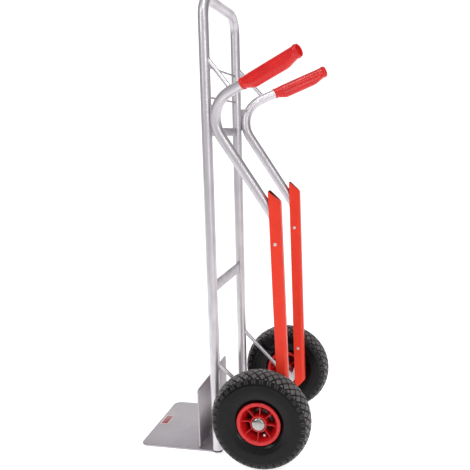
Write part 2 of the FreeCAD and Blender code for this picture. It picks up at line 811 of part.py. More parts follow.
doc.recompute()
faults = [item.Label for item in doc.Objects if "Invalid" in item.State or "Error" in item.State]
faults += [part.Label for part in PARTS if part.Shape.isNull() or not part.Shape.isValid()]
if faults:
    raise SystemExit("failed: " + ", ".join(faults))
os.makedirs("parts", exist_ok=True)
for part in PARTS:
    part.Shape.exportStep("parts/%s.step" % part.Label)
    print("%-24s solids %d  volume %.1f cm3" % (part.Label, len(part.Shape.Solids),
                                                part.Shape.Volume / 1000.0))
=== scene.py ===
"""Looks of the aluminium hand truck: bent tubes, plates, grips, skids and wheels in its CAD frame.

Metres throughout. +Z is up, +Y points to the user behind the truck and +X to the user's left.
Each shape is a grid of points worked out with numpy, and each docstring gives its formula.
"""
import bpy
import json
import math
import numpy as np
from mathutils import Matrix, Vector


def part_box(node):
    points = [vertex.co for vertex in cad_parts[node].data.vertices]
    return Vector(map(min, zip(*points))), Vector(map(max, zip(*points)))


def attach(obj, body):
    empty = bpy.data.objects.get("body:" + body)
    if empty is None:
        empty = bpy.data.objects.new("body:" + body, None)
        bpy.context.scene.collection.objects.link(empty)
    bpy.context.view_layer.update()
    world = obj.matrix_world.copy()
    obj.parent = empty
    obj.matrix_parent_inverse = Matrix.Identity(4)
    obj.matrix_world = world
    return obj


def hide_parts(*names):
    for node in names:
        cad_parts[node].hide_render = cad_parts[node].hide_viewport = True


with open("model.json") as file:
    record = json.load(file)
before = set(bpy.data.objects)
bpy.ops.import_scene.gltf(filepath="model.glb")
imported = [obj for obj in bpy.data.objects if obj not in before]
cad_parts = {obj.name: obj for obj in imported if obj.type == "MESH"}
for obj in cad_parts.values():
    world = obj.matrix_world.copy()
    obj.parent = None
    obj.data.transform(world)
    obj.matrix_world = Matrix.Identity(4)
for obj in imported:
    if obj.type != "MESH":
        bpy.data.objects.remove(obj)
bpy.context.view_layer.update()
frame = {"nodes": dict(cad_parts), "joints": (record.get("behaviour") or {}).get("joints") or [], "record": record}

MM = 0.001
SIDES = {"left": 1.0, "right": -1.0}
RECORD = frame["record"]
SLOT_OF = {row["node"]: row["material_slot"] for row in RECORD["subparts"]}
HUBS = {joint["child"]: np.array(joint["pos_m"]) for joint in frame["joints"]}
UP = np.array((0.0, 0.0, 1.0))
ACROSS = np.array((1.0, 0.0, 0.0))
BACKWARDS = np.array((0.0, 1.0, 0.0))
SOFTEN = np.array((0.25, 0.5, 0.25))


def corners_of(node):
    """Lowest and highest corner of a CAD node, as arrays."""
    low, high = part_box(node)
    return np.array(low), np.array(high)


# ---- driving sizes, from the frame where it has them ------------------------------------------

frame_low, frame_high = corners_of("back_frame")
TUBE = (frame_high[1] - frame_low[1]) / 2
FRAME_Y = (frame_high[1] + frame_low[1]) / 2
CROWN_Z = frame_high[2] - TUBE
FOOT_Z = 10 * MM
FOOT_X = 154 * MM
TOP_X = frame_high[0] - TUBE
LOOP_BEND = 52 * MM

HANDLE = np.array(((142.1, 163.1, 112.0), (160.5, 151.6, 646.0),
                   (166.0, -29.0, 926.5), (269.3, 234.0, 1042.7))) * MM
HANDLE_BENDS = (60 * MM, 78 * MM)
GRIP_LONG = 171 * MM
GRIP_WALL = 6 * MM
UPPER_STRUT = 6 * MM
LOWER_STRUT = 5.5 * MM
UPPER_STRUT_FOOT = 101 * MM
UPPER_STRUT_TOP = 1046 * MM
LOWER_STRUT_TOP = 257 * MM
BRACKET_REACH = 21 * MM
SCREW_SHARES = (0.190, 0.878)
SCREW_OUT, SCREW_R, SCREW_TALL = 15.9 * MM, 4.2 * MM, 1.8 * MM
GUARD_WELDS = (-0.11, -0.04, 0.04, 0.11)
GUARD_WELD_ENDS = (-18 * MM, 18 * MM)
RIB_HALF = 1.15 * MM
WHEEL_R = (corners_of("tyre_left")[1][2] - corners_of("tyre_left")[0][2]) / 2
TYRE_HALF = (corners_of("tyre_left")[1][0] - corners_of("tyre_left")[0][0]) / 2


# ---- vectors and outlines ----------------------------------------------------------------------

def unit(vector):
    return vector / np.linalg.norm(vector)


def smooth(value, low, high):
    """0 below low, 1 above high, and the cubic 3t^2 - 2t^3 between them."""
    share = np.clip((value - low) / (high - low), 0.0, 1.0)
    return share * share * (3.0 - 2.0 * share)


def mirrored(points, side):
    """The left side's points, or their mirror image across the centre plane."""
    return np.asarray(points, float) * np.array((side, 1.0, 1.0))


def circle(radius, count=48):
    """Points at equal angles about the origin."""
    turn = np.linspace(0.0, 2 * math.pi, count, endpoint=False)
    return np.stack([np.cos(turn), np.sin(turn)], 1) * radius


def oval(half_wide, half_tall, count=48, power=2.0):
    """Superellipse: each coordinate is its half size times the cosine or sine to 2 / power."""
    turn = np.linspace(0.0, 2 * math.pi, count, endpoint=False)
    wave = np.stack([np.cos(turn), np.sin(turn)], 1)
    return np.sign(wave) * np.abs(wave) ** (2.0 / power) * np.array((half_wide, half_tall))


def rounded(corners, radii, steps=5):
    """A closed outline whose corners are arcs tangent to both sides, one radius for each corner."""
    corners = [np.array(corner, float) for corner in corners]
    radii = np.broadcast_to(radii, len(corners))
    points = []
    for number, (corner, radius) in enumerate(zip(corners, radii)):
        back = unit(corners[number - 1] - corner)
        ahead = unit(corners[(number + 1) % len(corners)] - corner)
        half = math.acos(np.clip(back @ ahead, -1.0, 1.0)) / 2
        if radius == 0 or half > 1.565:
            points.append(corner)
            continue
        middle = unit(back + ahead)
        centre = corner + middle * radius / math.sin(half)
        first = corner + back * radius / math.tan(half) - centre
        final = corner + ahead * radius / math.tan(half) - centre
        sweep = math.pi - 2 * half
        for share in np.linspace(0.0, 1.0, steps):
            weight = np.array((math.sin((1 - share) * sweep), math.sin(share * sweep)))
            points.append(centre + (first * weight[0] + final * weight[1]) / math.sin(sweep))
    return np.array(points)


def box_outline(low, high, first, second, radii, steps=5):
    """A box's rectangle in two of its axes, counter-clockwise from its low corner, corners rounded."""
    corners = [(low[first], low[second]), (high[first], low[second]),
               (high[first], high[second]), (low[first], high[second])]
    return rounded(corners, radii, steps)


def inset(outline, amount):
    """A closed counter-clockwise outline moved inwards along the mean of its two edge normals."""
    before = outline - np.roll(outline, 1, 0)
    after = np.roll(outline, -1, 0) - outline
    before /= np.maximum(np.linalg.norm(before, axis=1, keepdims=True), 1e-12)
    after /= np.maximum(np.linalg.norm(after, axis=1, keepdims=True), 1e-12)
    tangent = before + after
    tangent /= np.linalg.norm(tangent, axis=1, keepdims=True)
    stretch = np.maximum((tangent * after).sum(1, keepdims=True), 0.5)
    normal = np.stack([-tangent[:, 1], tangent[:, 0]], 1)
    return outline + normal * amount / stretch


def bent_line(corners, bends, steps=18):
    """Straight runs joined by tangent arcs, one bend radius for each inner corner."""
    points = [corners[0]]
    for before, corner, after, radius in zip(corners, corners[1:], corners[2:], bends):
        back, ahead = unit(before - corner), unit(after - corner)
        half = math.acos(back @ ahead) / 2
        centre = corner + unit(back + ahead) * radius / math.sin(half)
        first = corner + back * radius / math.tan(half) - centre
        final = corner + ahead * radius / math.tan(half) - centre
        sweep = math.pi - 2 * half
        for share in np.linspace(0.0, 1.0, steps):
            weight = (math.sin((1 - share) * sweep), math.sin(share * sweep))
            points.append(centre + (first * weight[0] + final * weight[1]) / math.sin(sweep))
    points.append(corners[-1])
    return np.array(points)


# ---- surfaces ----------------------------------------------------------------------------------

def lengths_along(grid, axis):
    """Running distance along one way of a grid, from its mean spacing, with the wrap's last step."""
    step = np.linalg.norm(np.roll(grid, -1, axis) - grid, axis=2).mean(1 - axis)
    return np.concatenate([[0.0], np.cumsum(step)])


def shell(grid, loop=False):
    """A closed shell from a grid whose columns go round: quads, with flat caps unless rows loop too.

    UV is the distance round and along in metres.
    """
    rows, columns = grid.shape[:2]
    index = np.arange(rows * columns).reshape(rows, columns)
    index = np.concatenate([index, index[:, :1]], 1)
    if loop:
        index = np.concatenate([index, index[:1]], 0)
    quads = np.stack([index[:-1, :-1], index[:-1, 1:], index[1:, 1:], index[1:, :-1]], -1)
    around, along = lengths_along(grid, 1), lengths_along(grid, 0)
    along = along[:index.shape[0]]
    spot = np.stack(np.meshgrid(around, along), -1)
    uvs = np.stack([spot[:-1, :-1], spot[:-1, 1:], spot[1:, 1:], spot[1:, :-1]], -2)
    faces = quads.reshape(-1, 4).tolist()
    uv = [list(corner) for corner in uvs.reshape(-1, 4, 2).tolist()]
    if not loop:
        ends = (index[0, :-1][::-1], index[-1, :-1])
        for end, row in zip(ends, (grid[0][::-1], grid[-1])):
            sideways = unit(row[0] - row.mean(0))
            upward = unit(np.cross(np.cross(sideways, row[len(row) // 3] - row.mean(0)), sideways))
            flat = row - row.mean(0)
            faces.append(end.tolist())
            uv.append(np.stack([flat @ sideways, flat @ upward], 1).tolist())
    return grid.reshape(-1, 3), faces, uv


def volume(points, faces):
    """Signed volume: the sum over fan triangles of the box product of their corners, over six."""
    total = 0.0
    for size in {len(face) for face in faces}:
        same = points[np.array([face for face in faces if len(face) == size])]
        for corner in range(1, size - 1):
            total += (same[:, 0] * np.cross(same[:, corner], same[:, corner + 1])).sum()
    return total / 6


def piece(name, shells, body, node=None, slot=None, fields=None, crease=50.0, finish=None):
    """One object from closed shells, faces turned outwards, riding on a body and replacing a node."""
    points, faces, uvs, offset = [], [], [], 0
    for shell_points, shell_faces, shell_uv in shells:
        centred = shell_points - shell_points.mean(0)
        turned = volume(centred, shell_faces) < 0
        for face, uv in zip(shell_faces, shell_uv):
            face = [corner + offset for corner in face]
            faces.append(face[::-1] if turned else face)
            uvs.extend(uv[::-1] if turned else uv)
        points.append(shell_points)
        offset += len(shell_points)
    mesh = bpy.data.meshes.new(name)
    mesh.from_pydata(np.concatenate(points).tolist(), [], faces)
    mesh.uv_layers.new(name="surface").data.foreach_set("uv", np.array(uvs, np.float32).ravel())
    for field, values in (fields or {}).items():
        stored = mesh.attributes.new(field, "FLOAT", "POINT")
        stored.data.foreach_set("value", np.asarray(values, np.float32).ravel())
    mesh.polygons.foreach_set("use_smooth", [True] * len(mesh.polygons))
    mesh.set_sharp_from_angle(angle=math.radians(crease))
    made = bpy.data.objects.new(name, mesh)
    bpy.context.scene.collection.objects.link(made)
    slot = slot or SLOT_OF[node]
    mesh.materials.append(FINISHES[finish or slot])
    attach(made, body)
    if node:
        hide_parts(node)
    return made


def carried(points, section, side_way=ACROSS):
    """A section carried along a line, its frame turned as little as the line's own bends ask for.

    Each point is the line's point plus the section's two coordinates times the frame's two sides.
    """
    points = np.asarray(points, float)
    ahead = np.gradient(points, axis=0)
    ahead /= np.linalg.norm(ahead, axis=1, keepdims=True)
    sections = np.broadcast_to(section, (len(points),) + np.shape(section)[-2:])
    rows = []
    side = np.asarray(side_way, float)
    for point, way, outline in zip(points, ahead, sections):
        side = unit(side - way * (side @ way))
        other = np.cross(way, side)
        rows.append(point + outline[:, :1] * side + outline[:, 1:] * other)
    return np.array(rows)


def tube(points, radius, count=56, side_way=ACROSS):
    """A round bar: a circle carried along a line."""
    return shell(carried(points, circle(radius, count), side_way))


def revolved(profile, hub, side, count=160):
    """A closed profile of (distance outwards, radius) turned about the axle's line."""
    turn = np.linspace(0.0, 2 * math.pi, count, endpoint=False)[:, None]
    outwards, radius = profile[None, :, 0], profile[None, :, 1]
    grid = np.stack([np.broadcast_to(outwards * side, (count, len(profile))),
                     radius * np.sin(turn), radius * np.cos(turn)], -1)
    return shell(grid + hub, loop=True)


def slab(outline, thickness, edge, origin, across, upwards, steps=4):
    """A sheet with rounded edges: the outline inset by a quarter circle at each of its two faces."""
    across, upwards = np.asarray(across, float), np.asarray(upwards, float)
    out = np.cross(across, upwards)
    turn = np.linspace(0.0, math.pi / 2, steps)
    insets = edge * (1 - np.sin(turn))
    lifts = edge * (1 - np.cos(turn))
    levels = list(zip(insets, lifts)) + list(zip(insets[::-1], thickness - lifts[::-1]))
    rows = []
    for amount, level in levels:
        flat = inset(outline, amount)
        rows.append(origin + flat[:, :1] * across + flat[:, 1:] * upwards + out * level)
    points, faces = shell(np.array(rows))[:2]
    spots = np.stack([(points - origin) @ across, (points - origin) @ upwards], 1)
    return points, faces, [spots[face].tolist() for face in faces]


# ---- welds -------------------------------------------------------------------------------------

def seam_on_tube(start, way, section, tube_point, tube_way, tube_radius, side_way=UP):
    """Where a bar meets a tube: each line of the bar's outline is followed to the tube's surface.

    With q the part of a vector square to the tube's axis, the distance t solves
    |q(start) + t q(way)| = radius, and the nearer root is taken.
    """
    side = unit(side_way - way * (side_way @ way))
    other = np.cross(way, side)
    starts = start + section[:, :1] * side + section[:, 1:] * other - tube_point
    square = starts - np.outer(starts @ tube_way, tube_way)
    ahead = way - tube_way * (way @ tube_way)
    a, b = ahead @ ahead, square @ ahead
    c = (square * square).sum(1) - tube_radius ** 2
    reach = (-b - np.sqrt(np.maximum(b * b - a * c, 0.0))) / a
    return starts + tube_point + reach[:, None] * way


def weld_bead(path, radius=1.5 * MM, closed=True, ripple=2.6 * MM):
    """A bead along a path: a circle whose radius swells by the absolute sine of the distance."""
    path = np.asarray(path, float)
    if closed:
        path = np.concatenate([path, path[:1]])
    run = np.concatenate([[0.0], np.cumsum(np.linalg.norm(np.diff(path, axis=0), axis=1))])
    count = max(24, int(run[-1] / ripple) * 6)
    at = np.linspace(0.0, run[-1], count, endpoint=not closed)
    line = np.stack([np.interp(at, run, path[:, axis]) for axis in range(3)], 1)
    swell = radius * (0.82 + 0.30 * np.abs(np.sin(math.pi * at / ripple)))
    if not closed:
        swell = swell * np.sqrt(np.clip(np.minimum(at, run[-1] - at) / (2 * radius), 0.05, 1.0))
    ahead = np.roll(line, -1, 0) - np.roll(line, 1, 0) if closed else np.gradient(line, axis=0)
    ahead /= np.linalg.norm(ahead, axis=1, keepdims=True)
    helper = UP if abs(ahead[:, 2]).mean() < 0.8 else BACKWARDS
    side = np.cross(ahead, helper)
    side /= np.linalg.norm(side, axis=1, keepdims=True)
    other = np.cross(ahead, side)
    ring = circle(1.0, 10)
    grid = line[:, None] + swell[:, None, None] * (ring[None, :, :1] * side[:, None]
                                                   + ring[None, :, 1:] * other[:, None])
    return shell(grid, loop=closed)


# ---- finishes ----------------------------------------------------------------------------------

class Finish:
    """A procedural material: one Principled shader and the patterns that feed it."""

    def __init__(self, name, colour, metal=0.0, rough=0.5, uv=False, **sockets):
        self.material = bpy.data.materials.new(name)
        self.material.use_nodes = True
        self.tree = self.material.node_tree
        self.shader = self.tree.nodes["Principled BSDF"]
        self.put(self.shader, "Base Color", (*colour, 1.0))
        self.put(self.shader, "Metallic", metal)
        self.put(self.shader, "Roughness", rough)
        for socket, value in sockets.items():
            self.put(self.shader, socket.replace("_", " "), value)
        coordinates = self.tree.nodes.new("ShaderNodeTexCoord")
        self.place = coordinates.outputs["UV" if uv else "Object"]

    def put(self, node, socket, value):
        if isinstance(value, bpy.types.NodeSocket):
            self.tree.links.new(value, node.inputs[socket])
        else:
            node.inputs[socket].default_value = value

    def node(self, kind, output=0, **inputs):
        """A new node with its inputs set or linked, as one of its outputs."""
        made = self.tree.nodes.new("ShaderNode" + kind)
        for socket, value in inputs.items():
            self.put(made, socket.replace("_", " "), value)
        return made.outputs[output]

    def noise(self, scale, detail=3.0, stretch=(1.0, 1.0, 1.0), rough=0.55):
        """Cloudy noise, stretched by scaling its coordinates."""
        place = self.node("Mapping", Vector=self.place, Scale=stretch)
        return self.node("TexNoise", "Fac", Vector=place, Scale=scale, Detail=detail, Roughness=rough)

    def axis(self, name):
        """One coordinate of the pattern's place."""
        return self.node("SeparateXYZ", name, Vector=self.place)

    def field(self, name):
        made = self.tree.nodes.new("ShaderNodeAttribute")
        made.attribute_name = name
        return made.outputs["Fac"]

    def ranged(self, value, low, high, to_low=0.0, to_high=1.0):
        """A straight map from one range to another, held at its ends."""
        return self.node("MapRange", "Result", Value=value, From_Min=low, From_Max=high,
                         To_Min=to_low, To_Max=to_high)

    def maths(self, operation, first, second=0.0):
        made = self.tree.nodes.new("ShaderNodeMath")
        made.operation = operation
        for number, value in enumerate((first, second)):
            self.put(made, number, value)
        return made.outputs[0]

    def mixed(self, share, first, second):
        """A mix of two colours."""
        made = self.tree.nodes.new("ShaderNodeMix")
        made.data_type = "RGBA"
        self.put(made, 0, share)
        for socket, value in ((6, first), (7, second)):
            self.put(made, socket, value if isinstance(value, bpy.types.NodeSocket) else (*value, 1.0))
        return made.outputs[2]

    def bump(self, height, strength, distance):
        normal = self.node("Bump", "Normal", Height=height, Strength=strength, Distance=distance)
        self.put(self.shader, "Normal", normal)

    def colour(self, value):
        self.put(self.shader, "Base Color", value)

    def rough(self, value):
        self.put(self.shader, "Roughness", value)


def drawn_tube(name, pale, dull, rough):
    """Satin tube: drawing lines along its length, cloudy handling marks and a few bright scuffs."""
    made = Finish(name, pale, metal=0.88, rough=rough, uv=True)
    lines = made.noise(1.0, 4.0, stretch=(1500.0, 9.0, 1.0), rough=0.7)
    clouds = made.noise(11.0, 3.0)
    scuffs = made.ranged(made.noise(1.0, 2.0, stretch=(260.0, 70.0, 1.0)), 0.66, 0.74)
    shade = made.mixed(made.ranged(clouds, 0.35, 0.7), pale, dull)
    shade = made.mixed(made.ranged(lines, 0.3, 0.75, 0.0, 0.35), shade, tuple(0.8 * c for c in dull))
    made.colour(made.mixed(made.maths("MULTIPLY", scuffs, 0.4), shade, (0.9, 0.9, 0.92)))
    worn = made.maths("ADD", made.ranged(lines, 0.2, 0.8, rough - 0.06, rough + 0.1),
                      made.ranged(clouds, 0.3, 0.7, -0.05, 0.06))
    made.rough(made.maths("SUBTRACT", worn, made.maths("MULTIPLY", scuffs, 0.08)))
    made.bump(made.maths("ADD", lines, made.maths("MULTIPLY", scuffs, 0.6)), 0.25, 0.00008)
    return made.material


def rolled_sheet(name, pale, dull):
    """Rolled sheet: fine straight grain, faint stains, and rubbed patches where boxes slide."""
    made = Finish(name, pale, metal=0.7, rough=0.42, uv=True)
    grain = made.noise(1.0, 4.0, stretch=(14.0, 900.0, 1.0), rough=0.7)
    stains = made.noise(9.0, 4.0)
    rubs = made.ranged(made.noise(1.0, 3.0, stretch=(18.0, 90.0, 1.0)), 0.60, 0.80)
    shade = made.mixed(made.ranged(stains, 0.35, 0.68), pale, dull)
    shade = made.mixed(made.ranged(grain, 0.3, 0.7, 0.0, 0.25), shade, tuple(0.85 * c for c in dull))
    made.colour(made.mixed(made.maths("MULTIPLY", rubs, 0.12), shade, (0.82, 0.81, 0.82)))
    made.rough(made.maths("ADD", made.ranged(grain, 0.2, 0.8, 0.36, 0.48),
                          made.maths("MULTIPLY", rubs, -0.08)))
    made.bump(made.maths("ADD", grain, rubs), 0.12, 0.00006)
    return made.material


def cast_metal(name, pale, dull, grain=900.0, metal=0.8, rough=0.45):
    """Cast or welded metal: a sandy skin with cloudy colour."""
    made = Finish(name, pale, metal=metal, rough=rough)
    sand = made.noise(grain, 3.0)
    clouds = made.noise(60.0, 3.0)
    made.colour(made.mixed(made.ranged(clouds, 0.35, 0.7), pale, dull))
    made.rough(made.ranged(sand, 0.3, 0.7, rough - 0.08, rough + 0.12))
    made.bump(sand, 0.5, 0.00015)
    return made.material


def bright_metal(name, pale, dull, rough, lines=(400.0, 400.0, 400.0)):
    """Plated or turned steel: fine turning marks, faint smears and specks of dulled plate."""
    made = Finish(name, pale, metal=1.0, rough=rough)
    marks = made.noise(1.0, 3.0, stretch=lines)
    smears = made.noise(45.0, 3.0)
    specks = made.ranged(made.noise(330.0, 2.0), 0.68, 0.74)
    shade = made.mixed(made.ranged(smears, 0.4, 0.72), pale, dull)
    made.colour(made.mixed(made.maths("MULTIPLY", specks, 0.5), shade, tuple(0.6 * c for c in dull)))
    made.rough(made.maths("ADD", made.ranged(smears, 0.3, 0.7, rough - 0.03, rough + 0.08),
                          made.maths("MULTIPLY", specks, 0.2)))
    made.bump(marks, 0.15, 0.00005)
    return made.material


def moulded_plastic(name, bright, deep, rough, grain, bump, uv=False, stretch=(1.0, 1.0, 1.0), coat=0.0):
    """Coloured plastic: a fine moulded grain, uneven dye, rubbed pale patches, small nicks, and painted shade in
    deep recesses.
    """
    made = Finish(name, bright, rough=rough, uv=uv, Coat_Weight=coat, Coat_Roughness=0.12,
                  Specular_IOR_Level=0.32)
    fine = made.noise(grain, 3.0, stretch=stretch)
    dye = made.noise(26.0, 3.0)
    rubbed = made.ranged(made.noise(75.0, 5.0, rough=0.7), 0.62, 0.80)
    nicks = made.ranged(made.noise(300.0, 2.0), 0.76, 0.80)
    shade = made.mixed(made.ranged(dye, 0.3, 0.72), bright, deep)
    pale = tuple(0.85 * c + 0.05 for c in bright)
    shade = made.mixed(made.maths("MULTIPLY", rubbed, 0.18), shade, pale)
    shade = made.mixed(made.maths("MULTIPLY", nicks, 0.5), shade, tuple(0.5 * c for c in deep))
    # Painted shade: where a mesh's point field marks a deep recess, the colour goes towards a near-black copy of
    # the deep dye.
    painted_recess_shade = made.maths("MULTIPLY", made.field("painted_recess_shade"), made.ranged(dye, 0.3, 0.6, 0.7, 0.92))
    made.colour(made.mixed(painted_recess_shade, shade, tuple(0.05 * c for c in deep)))
    made.rough(made.maths("ADD", made.ranged(fine, 0.3, 0.7, rough - 0.02, rough + 0.03),
                          made.maths("MULTIPLY", rubbed, 0.12)))
    made.bump(made.maths("SUBTRACT", fine, nicks), bump, 0.00012)
    return made.material


def tyre_rubber(name):
    """Black rubber: block tops scuffed to grey, dusty grooves and faint moulding rings."""
    made = Finish(name, (0.018, 0.018, 0.02), rough=0.4, Specular_IOR_Level=0.20)
    top = made.field("block_top")
    grit = made.noise(520.0, 4.0, rough=0.7)
    clouds = made.noise(38.0, 3.0)
    dust = made.ranged(made.noise(130.0, 4.0), 0.42, 0.7)
    worn = made.maths("MULTIPLY", top, made.ranged(clouds, 0.28, 0.62, 0.45, 1.0))
    shade = made.mixed(made.ranged(clouds, 0.3, 0.7), (0.0025, 0.0025, 0.0032), (0.0045, 0.0045, 0.0055))
    shade = made.mixed(made.maths("MULTIPLY", dust, 0.025), shade, (0.10, 0.09, 0.08))
    made.colour(made.mixed(made.maths("MULTIPLY", worn, 0.8), shade, (0.20, 0.185, 0.185)))
    made.rough(made.maths("ADD", made.ranged(grit, 0.3, 0.7, 0.17, 0.27),
                          made.maths("MULTIPLY", worn, 0.22)))
    made.bump(grit, 0.08, 0.0001)
    return made.material


def printed_label(name):
    """A red film with a pale printed border, rubbed at random; the middle stays blank."""
    low, high = corners_of("toe_label")
    middle, half = (low + high) / 2, (high - low) / 2
    made = Finish(name, (0.55, 0.05, 0.05), rough=0.4, Coat_Weight=0.3)
    border = 0.0
    for axis, number in (("X", 0), ("Y", 1)):
        away = made.maths("ABSOLUTE", made.maths("SUBTRACT", made.axis(axis), float(middle[number])))
        reach = float(half[number])
        border = made.maths("MAXIMUM", made.ranged(away, reach - 4.0 * MM, reach - 3.6 * MM), border)
    rubbed = made.ranged(made.noise(240.0, 4.0), 0.5, 0.68, 0.0, 0.35)
    red = made.mixed(rubbed, (0.34, 0.028, 0.033), (0.55, 0.16, 0.16))
    made.colour(made.mixed(border, red, (0.84, 0.66, 0.64)))
    made.rough(made.ranged(rubbed, 0.0, 0.35, 0.35, 0.6))
    made.bump(rubbed, 0.2, 0.00005)
    return made.material


FINISHES = {
    "tube_metal": drawn_tube("satin_tube", (0.70, 0.675, 0.705), (0.57, 0.545, 0.58), 0.36),
    "bar_metal": drawn_tube("satin_bar", (0.50, 0.48, 0.51), (0.36, 0.34, 0.37), 0.36),
    "plate_metal": rolled_sheet("rolled_plate", (0.47, 0.44, 0.47), (0.41, 0.38, 0.41)),
    "bracket_metal": cast_metal("cast_bracket", (0.78, 0.77, 0.78), (0.66, 0.65, 0.66)),
    "weld_metal": cast_metal("weld_bead", (0.72, 0.70, 0.72), (0.52, 0.50, 0.53), 1400.0, 0.85, 0.38),
    "rod_steel": bright_metal("drawn_rod", (0.30, 0.30, 0.32), (0.20, 0.20, 0.22), 0.34),
    "axle_steel": bright_metal("turned_axle", (0.56, 0.56, 0.57), (0.42, 0.42, 0.43), 0.34,
                               (1500.0, 20.0, 20.0)),
    "zinc_hardware": bright_metal("zinc_plate", (0.74, 0.74, 0.74), (0.58, 0.58, 0.56), 0.28),
    "black_bolt": bright_metal("blackened_bolt", (0.10, 0.10, 0.105), (0.05, 0.05, 0.052), 0.38),
    "bearing_steel": bright_metal("ground_ring", (0.62, 0.62, 0.64), (0.5, 0.5, 0.52), 0.22,
                                  (900.0, 60.0, 60.0)),
    "cap_steel": bright_metal("bright_cap", (0.40, 0.39, 0.38), (0.30, 0.29, 0.28), 0.12),
    "grip_red": moulded_plastic("grip_plastic", (0.72, 0.014, 0.012), (0.60, 0.009, 0.009), 0.26, 220.0, 0.02,
                                coat=0.15),
    "skid_red": moulded_plastic("skid_plastic", (0.84, 0.042, 0.016), (0.76, 0.032, 0.013), 0.42, 1.0, 0.12,
                                uv=True, stretch=(900.0, 12.0, 1.0)),
    "rim_red": moulded_plastic("rim_plastic", (0.64, 0.012, 0.014), (0.50, 0.007, 0.009), 0.28, 220.0, 0.02,
                               coat=0.3),
    "plug_black": moulded_plastic("plug_plastic", (0.03, 0.03, 0.032), (0.02, 0.02, 0.022), 0.45, 800.0, 0.3),
    "tube_rubber": moulded_plastic("inner_rubber", (0.03, 0.03, 0.03), (0.02, 0.02, 0.02), 0.6, 600.0, 0.2),
    "label_red": printed_label("label_film"),
    "tyre_black": tyre_rubber("tyre_rubber"),
}


# ---- frame of bent tube ------------------------------------------------------------------------

def leg_point(side, level):
    """The upright's axis at a level: its side distance grows evenly from foot to crown."""
    share = (level - FOOT_Z) / (CROWN_Z - FOOT_Z)
    return np.array(((FOOT_X + (TOP_X - FOOT_X) * share) * side, FRAME_Y, level))


def leg_way(side):
    """The way up an upright."""
    return unit(leg_point(side, CROWN_Z) - leg_point(side, FOOT_Z))


def back_frame():
    """One tube up, over and down, its two upper corners bent to an arc."""
    corners = [leg_point(1, FOOT_Z), leg_point(1, CROWN_Z), leg_point(-1, CROWN_Z), leg_point(-1, FOOT_Z)]
    line = bent_line(np.array(corners), (LOOP_BEND, LOOP_BEND), steps=26)
    piece("loop_tube", [tube(line, TUBE, 64)], "frame", "back_frame")


def crossbar(node, welds):
    """A flattened tube saddled onto both uprights.

    The section is a superellipse; its height swells and its depth thins over the last stretch,
    and each line of it runs to the upright's surface.
    """
    low, high = corners_of(node)
    level, tall, deep = (low[2] + high[2]) / 2, (high[2] - low[2]) / 2, (high[1] - low[1]) / 2
    along = np.concatenate([np.linspace(-1.0, -0.72, 9), np.linspace(-0.66, 0.66, 12),
                            np.linspace(0.72, 1.0, 9)])
    pinch = smooth(np.abs(along), 0.80, 0.97)
    rows = []
    for share, squeeze in zip(along, pinch):
        outline = oval(deep * (1 - 0.42 * squeeze), tall * (1 + 0.20 * squeeze), 48, 2.6)
        spot = leg_point(1, level)[0]
        reach = spot - np.sqrt(TUBE ** 2 - outline[:, 0] ** 2) + 0.4 * MM
        rows.append(np.stack([reach * share, FRAME_Y + outline[:, 0], level + outline[:, 1]], 1))
    rows = np.array(rows)
    piece(node.replace("crossbar", "cross_tube"), [shell(rows)], "frame", node)
    welds.extend(weld_bead(end) for end in (rows[0], rows[-1]))


def cross_rod(node, welds):
    """A thin straight rod between the uprights, its ends inside them, with a small weld at each."""
    low, high = corners_of(node)
    level, radius = (low[2] + high[2]) / 2, (high[2] - low[2]) / 2
    ends = np.linspace(leg_point(-1, level), leg_point(1, level), 9)
    ends[0] += (ends[1] - ends[0]) * 0.2
    ends[-1] += (ends[-2] - ends[-1]) * 0.2
    piece(node.replace("cross_rod", "thin_rod"), [tube(ends, radius, 20, UP)], "frame", node)
    for side in SIDES.values():
        seam = seam_on_tube(np.array((0.0, FRAME_Y, level)), np.array((side, 0.0, 0.0)), circle(radius, 20),
                            leg_point(side, level), leg_way(side), TUBE)
        welds.append(weld_bead(seam, 0.9 * MM))


# ---- handles, struts and brackets ---------------------------------------------------------------

def handle_line(side):
    """The side tube's line: straight runs and two arcs, ended a wall's thickness inside the grip."""
    corners = mirrored(HANDLE, side)
    reach = corners[3] - corners[2]
    corners[3] = corners[2] + reach * (1 - GRIP_WALL / np.linalg.norm(reach))
    return bent_line(corners, HANDLE_BENDS, steps=24)


def handle_tube(name, side):
    """A circle carried along the side tube's line."""
    piece("side_tube_" + name, [tube(handle_line(side), TUBE, 64)], "frame", "handle_tube_" + name)


def grip_axes(side):
    """A grip's inner end, and its ways across, down and along the tube."""
    corners = mirrored(HANDLE, side)
    along = unit(corners[3] - corners[2])
    down = unit(along * along[2] - UP)
    return corners[3] - along * GRIP_LONG, np.cross(down, along), down, along


